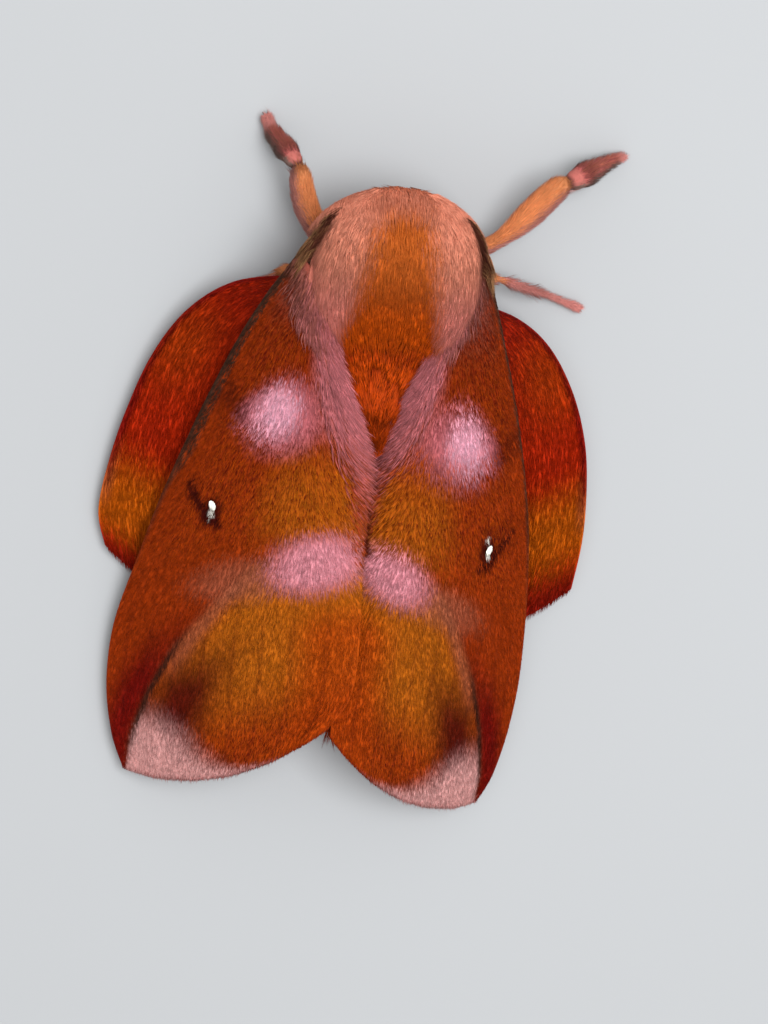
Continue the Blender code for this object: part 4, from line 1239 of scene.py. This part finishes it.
for side, turn in SIDES.items():
    seed = 80 + turn
    u, v = spread(thorax_hide, (0.5, 16.5), sorted((ABOVE_WING * turn, np.pi * turn)), SIDE_COUNT, seed)
    coat(
        f"thorax_{side}_flank_coat", "thorax_coat", thorax_hide, u, v, on_body(0, 24), SHORT_TUFT, straight,
        length=2.4 * (0.5 + 0.5 * ramp(u, 0.5, 3)), width=0.14, lift=0.3,
        tones=hair_tones(thorax_tone, u, v, seed, 0.35), clump=(18, 0.6), clear=off_wings(False), flecks=0.22,
        seed=seed,
    )
    # Dark hair stands out at the shoulder, over the wing's root, with paler hair under it. Its dark tone is
    # partly the hair's own and partly painted shade of the hollow below the collar.
    seed = seed + 4
    u, v = spread(
        thorax_hide, (2.2, 6.6), sorted((1.25 * turn, 1.7 * turn)), SHOULDER_COUNT, seed,
        lambda u, v: soft((abs(v) - 1.25) / 0.2 - 0.2 * (u - 4)) * fade(abs(v), 1.75, 0.2) * ramp(u, 2, 2),
    )
    rng = np.random.default_rng(seed)
    olive = soft((abs(v) - 1.5 + 0.25 * rng.uniform(-1, 1, len(u))) / 0.2 + 0.9 * ramp(u, 4.6, 1.4))
    tips = mix(mix(SHOULDER_DARK_AND_SHADE, SHOULDER_OLIVE, olive), SALMON_DEEP, 0.5 * rng.random(len(u)) * olive)
    coat(
        f"thorax_{side}_shoulder", "thorax_coat", thorax_hide, u, v, on_body(0, 24), BENT_TUFT,
        lambda u, v: (np.ones_like(u), 0.1 * np.sign(v)), length=2.3 * rng.uniform(0.6, 1.0, len(u)),
        width=0.09, lift=0.42 + 0.25 * ramp(u, 3.8, 1.2), tones=(SHOULDER_DARK_AND_SHADE * 0.7, tips),
        clump=(12, 0.4), flecks=0.2, seed=seed,
    )
# The collar's hair parts under its bulge: above the parting it lies up and back, below it over the head.
u, v = spread(
    collar_surface, (0.04, 0.8), (-1, 1), COLLAR_COUNT, 88,
    lambda u, v: fade(u, 0.85, 0.3) * (0.4 + fade(abs(v), 1.1, 0.3)),
)
rng = np.random.default_rng(88)
grain = rng.uniform(-1, 1, len(u))
falls = u + 0.05 * grain + 0.03 * np.sin(9 * v) < COLLAR_PARTING
x, station, height = np.moveaxis(collar_surface(u, v), -1, 0)
shade = soft((abs(v) - 0.74 + 0.1 * grain) / 0.22) * soft(1.4 - abs(height - 8.5) / 1.2)
tips = layered(
    COLLAR_RIM,
    (SALMON, soft(0.1 + 0.4 * grain + 0.8 * ramp(station, 0.4, 2.6))),
    (STRIPE_FRONT, stripe_at(x, station, grain) * ramp(station, 0.6, 1.5)),
    (SHOULDER_DARK_AND_SHADE, 0.85 * shade),
)
collar_lie = np.where(falls, (-1 + 0 * v, 0.3 * v), (np.cos(COLLAR_TURN * v), np.sin(COLLAR_TURN * v)))
coat(
    "thorax_collar", "thorax_coat", collar_surface, u, v, lambda u, v: (0.02 + 0.2 * u, 0.51 + 0.3 * v),
    BENT_TUFT, lambda u, v: collar_lie, length=np.where(falls, 1.4, 2.3) * rng.uniform(0.7, 1.0, len(u)),
    width=COAT_WIDTH, lift=np.where(falls, 0.3, 0.16), tones=(tips * 0.7, tips * 1.08),
    clump=(12, 0.25), flat=0.35, flecks=0.06, seed=88,
)
# The tuft's front blends into the stripe.
u, v = spread(
    thorax_hide, TUFT_SPAN, (-1.45, 1.45), TUFT_COUNT, 90,
    lambda u, v: ramp(u, 11.4, 3.5) * (0.35 + in_rows(u, v)),
)
lock = np.random.default_rng(90).random(len(u))
front = fade(u, 16.5, 3)
coat(
    "thorax_tuft", "thorax_coat", thorax_hide, u, v, on_body(0, 24), LONG_TUFT,
    lambda u, v: (np.ones_like(u), -0.12 * np.sign(v)),
    length=1.8 + 1.3 * ramp(u, 13, 3), width=0.14, lift=0.34 - 0.12 * front, sink=0.2,
    tones=(
        mix(TUFT_ROOT_AND_SHADE, TUFT_DEEP, 0.3 * lock + 0.6 * front),
        mix(mix(TUFT_DEEP, TUFT_TIP, lock), STRIPE_BACK, 0.5 * front),
    ),
    clump=(22, 0.5), clear=off_wings(True), flecks=0.2, seed=90,
)


# Coat of the abdomen
# The abdomen is hidden under the wings, and lies on the floor. Its fur is short and dense, and longer at
# the back of each segment and at the tip.
ABDOMEN_COUNT = 14000
TIP_COUNT = 1400
TIP_LENGTH = 3.4

abdomen_hide = body_surface(ABDOMEN_STATIONS, ABDOMEN_DEPTH)
u, v = spread(abdomen_hide, (15.2, 46.35), ALL_ROUND, ABDOMEN_COUNT, 100)
coat(
    "abdomen_coat", "abdomen_coat", abdomen_hide, u, v, on_body(15, 47), SHORT_TUFT, straight,
    length=1.5 + 0.5 * soft((u - 15) / ABDOMEN_SEGMENT % 1), width=0.2, lift=0.14,
    tones=hair_tones(abdomen_tone, u, v, 100), clump=(10, 0.3), seed=100,
)
u, v = spread(abdomen_hide, (43.2, 46.3), ALL_ROUND, TIP_COUNT, 101)
coat(
    "abdomen_tip", "abdomen_coat", abdomen_hide, u, v, on_body(15, 47), BENT_TUFT, straight,
    length=TIP_LENGTH * np.random.default_rng(101).uniform(0.3, 1.0, TIP_COUNT), width=0.14, lift=0.12,
    tones=(ABDOMEN_BAND * 0.5, ABDOMEN_BAND * 0.8), clump=(60, 0.4), seed=101,
)


# Head
# The head is tucked under the front of the thorax. Its crown and face are covered in fine hair, and two
# short furred palps stand in front of the mouth.
HEAD_COUNT = 9000
EYE_CENTRE = np.array((2.75, 4.0, 3.2))
EYE_RADIUS = 1.5
PALP_COUNT = 1500


def eye_centre(side):
    return np.array((HEAD_SHIFT + EYE_CENTRE[0] * SIDES[side], EYE_CENTRE[1], EYE_CENTRE[2]))


def off_eyes(u, v):
    """Where hair may grow on the head: not on the eyes."""
    far = [np.linalg.norm(head_surface(u, v) - eye_centre(side), axis=-1) for side in SIDES]
    return np.prod([ramp(distance, 1.25, 0.2) for distance in far], axis=0)


def face_lie(u, v):
    """Hair falls down the face from the crown, and a little forwards."""
    return -0.3 * np.sin(u) - np.cos(u) * np.cos(v), np.sin(v)


def on_head(u, v):
    return 0.02 + 0.96 * u / np.pi, 0.02 + 0.96 * (v / (2 * np.pi) + 0.5)


u, v = spread(head_surface, (0.03, 2.6), ALL_ROUND, HEAD_COUNT, 110, off_eyes)
coat(
    "head_coat", "face_coat", head_surface, u, v, on_head, SHORT_TUFT, face_lie,
    length=1.0 + 0.4 * ramp(u, 0.8, 0.8), width=0.11, lift=0.25, sink=0.1,
    tones=hair_tones(head_tone, u, v, 110, 0.45), clump=(10, 0.35), seed=110,
)
for side in SIDES:
    palp = limb_surface(palp_route(side), PALP_DEPTH)
    seed = 120 + SIDES[side]
    u, v = spread(palp, (0.05, 0.99), ALL_ROUND, PALP_COUNT, seed)
    coat(
        f"palp_{side}_coat", "face_coat", palp, u, v, lambda u, v: (0.02 + 0.96 * u, 0.51 + 0.15 * v),
        SHORT_TUFT, straight, length=0.8 + 0.5 * ramp(u, 0.7, 0.3), width=0.08, lift=0.22,
        tones=hair_tones(head_tone, 3 * u, v, seed), seed=seed,
    )


# Eyes
# Large dark compound eyes bulge from the sides of the head. Each is a glossy ball of very fine facets.
EYE_BROWN = paint(46, 24, 16)
FACET_SCALE = 8000


def eye_finish():
    finish = Finish("eye", Base_Color=(*EYE_BROWN, 1), Specular_IOR_Level=0.25)
    place = finish.place()
    cells = finish.node(
        "ShaderNodeTexVoronoi", {"feature": "DISTANCE_TO_EDGE"}, {"Vector": place, "Scale": FACET_SCALE},
    )
    finish.feed(Normal=finish.bump(cells, 0.5, 0.00003))
    finish.feed(Roughness=0.12 + finish.noise(place, 500, 2) * 0.2)
    return finish


for side in SIDES:
    bm = bmesh.new()
    bmesh.ops.create_icosphere(bm, subdivisions=5, radius=EYE_RADIUS * MM)
    bmesh.ops.translate(bm, vec=(Vector(eye_centre(side)) + ORIGIN) * MM, verts=bm.verts)
    show(f"eye_{side}_ball", finished(bm, f"eye_{side}_ball"), eye_finish(), "eye", f"eye_{side}")


# Antennae
# The female's antennae are short and slender, and swept back along the thorax. Each has a shaft covered
# with pale scales that carries two rows of very short teeth.
ANTENNA_ROUTE = (
    (1.5, 3.2, 4.6), (1.8, 2.4, 4.8), (2.8, 2.0, 4.9), (4.2, 2.5, 5.0), (5.3, 3.8, 5.1),
    (6.2, 5.4, 5.1), (7.0, 7.1, 5.1), (7.6, 9.0, 5.0), (7.9, 11.0, 4.8), (8.0, 13.0, 4.4),
)
SHAFT_RADII = (0.36, 0.3, 0.22, 0.2, 0.19, 0.18, 0.16, 0.14, 0.11, 0.05)
TEETH = 46
TOOTH_LENGTH = 0.62
TOOTH_RADIUS = 0.055
ANTENNA_OCHRE = paint(190, 118, 66)

for side in SIDES:
    route = [(HEAD_SHIFT + x * SIDES[side], y, z, r) for (x, y, z), r in zip(ANTENNA_ROUTE, SHAFT_RADII)]
    shaft = limb_surface(route, 0)
    bm = bmesh.new()
    add_rings(bm, shaft, np.linspace(0, 1, 3 * TEETH), 12)
    for k in range(TEETH):
        share = 0.12 + 0.86 * k / TEETH
        for angle in (0.5 * SIDES[side], 2.7 * SIDES[side]):
            low = shaft(np.array([share]), np.array([angle]), -0.05)[0]
            high = shaft(np.array([share + 0.006]), np.array([angle]), TOOTH_LENGTH * (1.15 - share))[0]
            turned = Vector(high - low).to_track_quat("Z", "Y").to_matrix().to_4x4()
            bmesh.ops.create_cone(
                bm, cap_ends=True, segments=4, radius1=TOOTH_RADIUS, radius2=0.012,
                depth=float(np.linalg.norm(high - low)), matrix=Matrix.Translation((low + high) / 2) @ turned,
            )
    bmesh.ops.recalc_face_normals(bm, faces=bm.faces)
    # The shaft's upper side is darker.
    tones = [ANTENNA_OCHRE * (0.75 if vert.co.z > 4.9 else 1.0) for vert in bm.verts]
    in_frame(bm)
    mesh = finished(bm, f"antenna_{side}_shaft")
    set_tone(mesh, np.array(tones))
    finish = grained_finish("antenna", 0.55, 0.3, (3000, 3), (0.6, 0.8), (0.6, 0.00006))
    show(f"antenna_{side}_shaft", mesh, finish, "antenna", f"antenna_{side}")


# Legs
# The legs are thick with fur down to the shin, then slim and close-haired to the foot, which ends in a
# pair of small dark claws.
LEG_COUNT = {"foreleg": 7000, "midleg": 4200, "hindleg": 3600}
LEG_HAIR = 1.25
CLAW_LENGTH = 0.34
CLAW_RADIUS = 0.05

for name, route in LEG_ROUTES.items():
    knee = KNEES[name]
    leg = limb_surface(route, LEG_DEPTH)
    seed = 130 + 2 * list(LEG_ROUTES).index(name)
    count = LEG_COUNT[name.split("_")[0]]
    u, v = spread(leg, (0.12, 0.985), ALL_ROUND, count, seed, lambda u, v: 1 + ramp(u - knee, 0.2, 0.1))
    near_knee = 1 - 0.7 * soft(1.3 - abs(u - knee + 0.035) / 0.035)
    foot = (1 - 0.5 * ramp(u - knee, 0.22, 0.08)) * (1 - 0.5 * ramp(u, 0.9, 0.08))
    shin = ramp(u, knee, 0.03)
    lift = 0.17 + 0.12 * shin + 0.15 * ramp(u - knee, 0.2, 0.1)
    lift = lift + 0.25 * ramp(abs(v), 1.8, 0.5) * shin * fade(u, knee + 0.3, 0.1)
    coat(
        f"{name}_coat", "leg", leg, u, v, lambda u, v: (0.02 + 0.96 * u, 0.5 + 0.15 * v),
        SHORT_TUFT, straight, length=LEG_HAIR * near_knee * foot, width=0.11 * (0.5 + 0.5 * foot), lift=lift,
        tones=hair_tones(leg_tone(name), u, v, seed, 0.7), clump=(10, 0.25), flecks=0.1, seed=seed,
    )

bm = bmesh.new()
for route in LEG_ROUTES.values():
    end, before = (along(route, np.array([share]))[0][:3] for share in (1.0, 0.96))
    ahead = Vector(unit(end - before))
    aside = ahead.cross(Vector((0, 0, 1))).normalized()
    for turn in (-1, 1):
        way = (ahead + aside * 0.45 * turn + Vector((0, 0, -1.2))).normalized()
        place = Vector(end) + aside * 0.16 * turn + way * CLAW_LENGTH / 2
        turned = way.to_track_quat("Z", "Y").to_matrix().to_4x4()
        bmesh.ops.create_cone(
            bm, cap_ends=True, segments=8, radius1=CLAW_RADIUS, radius2=0.01, depth=CLAW_LENGTH,
            matrix=Matrix.Translation(place) @ turned,
        )
in_frame(bm)
show("claws", finished(bm, "claws"), Finish("claw", Roughness=0.35, Base_Color=(*LEG_DARK, 1)), "leg")
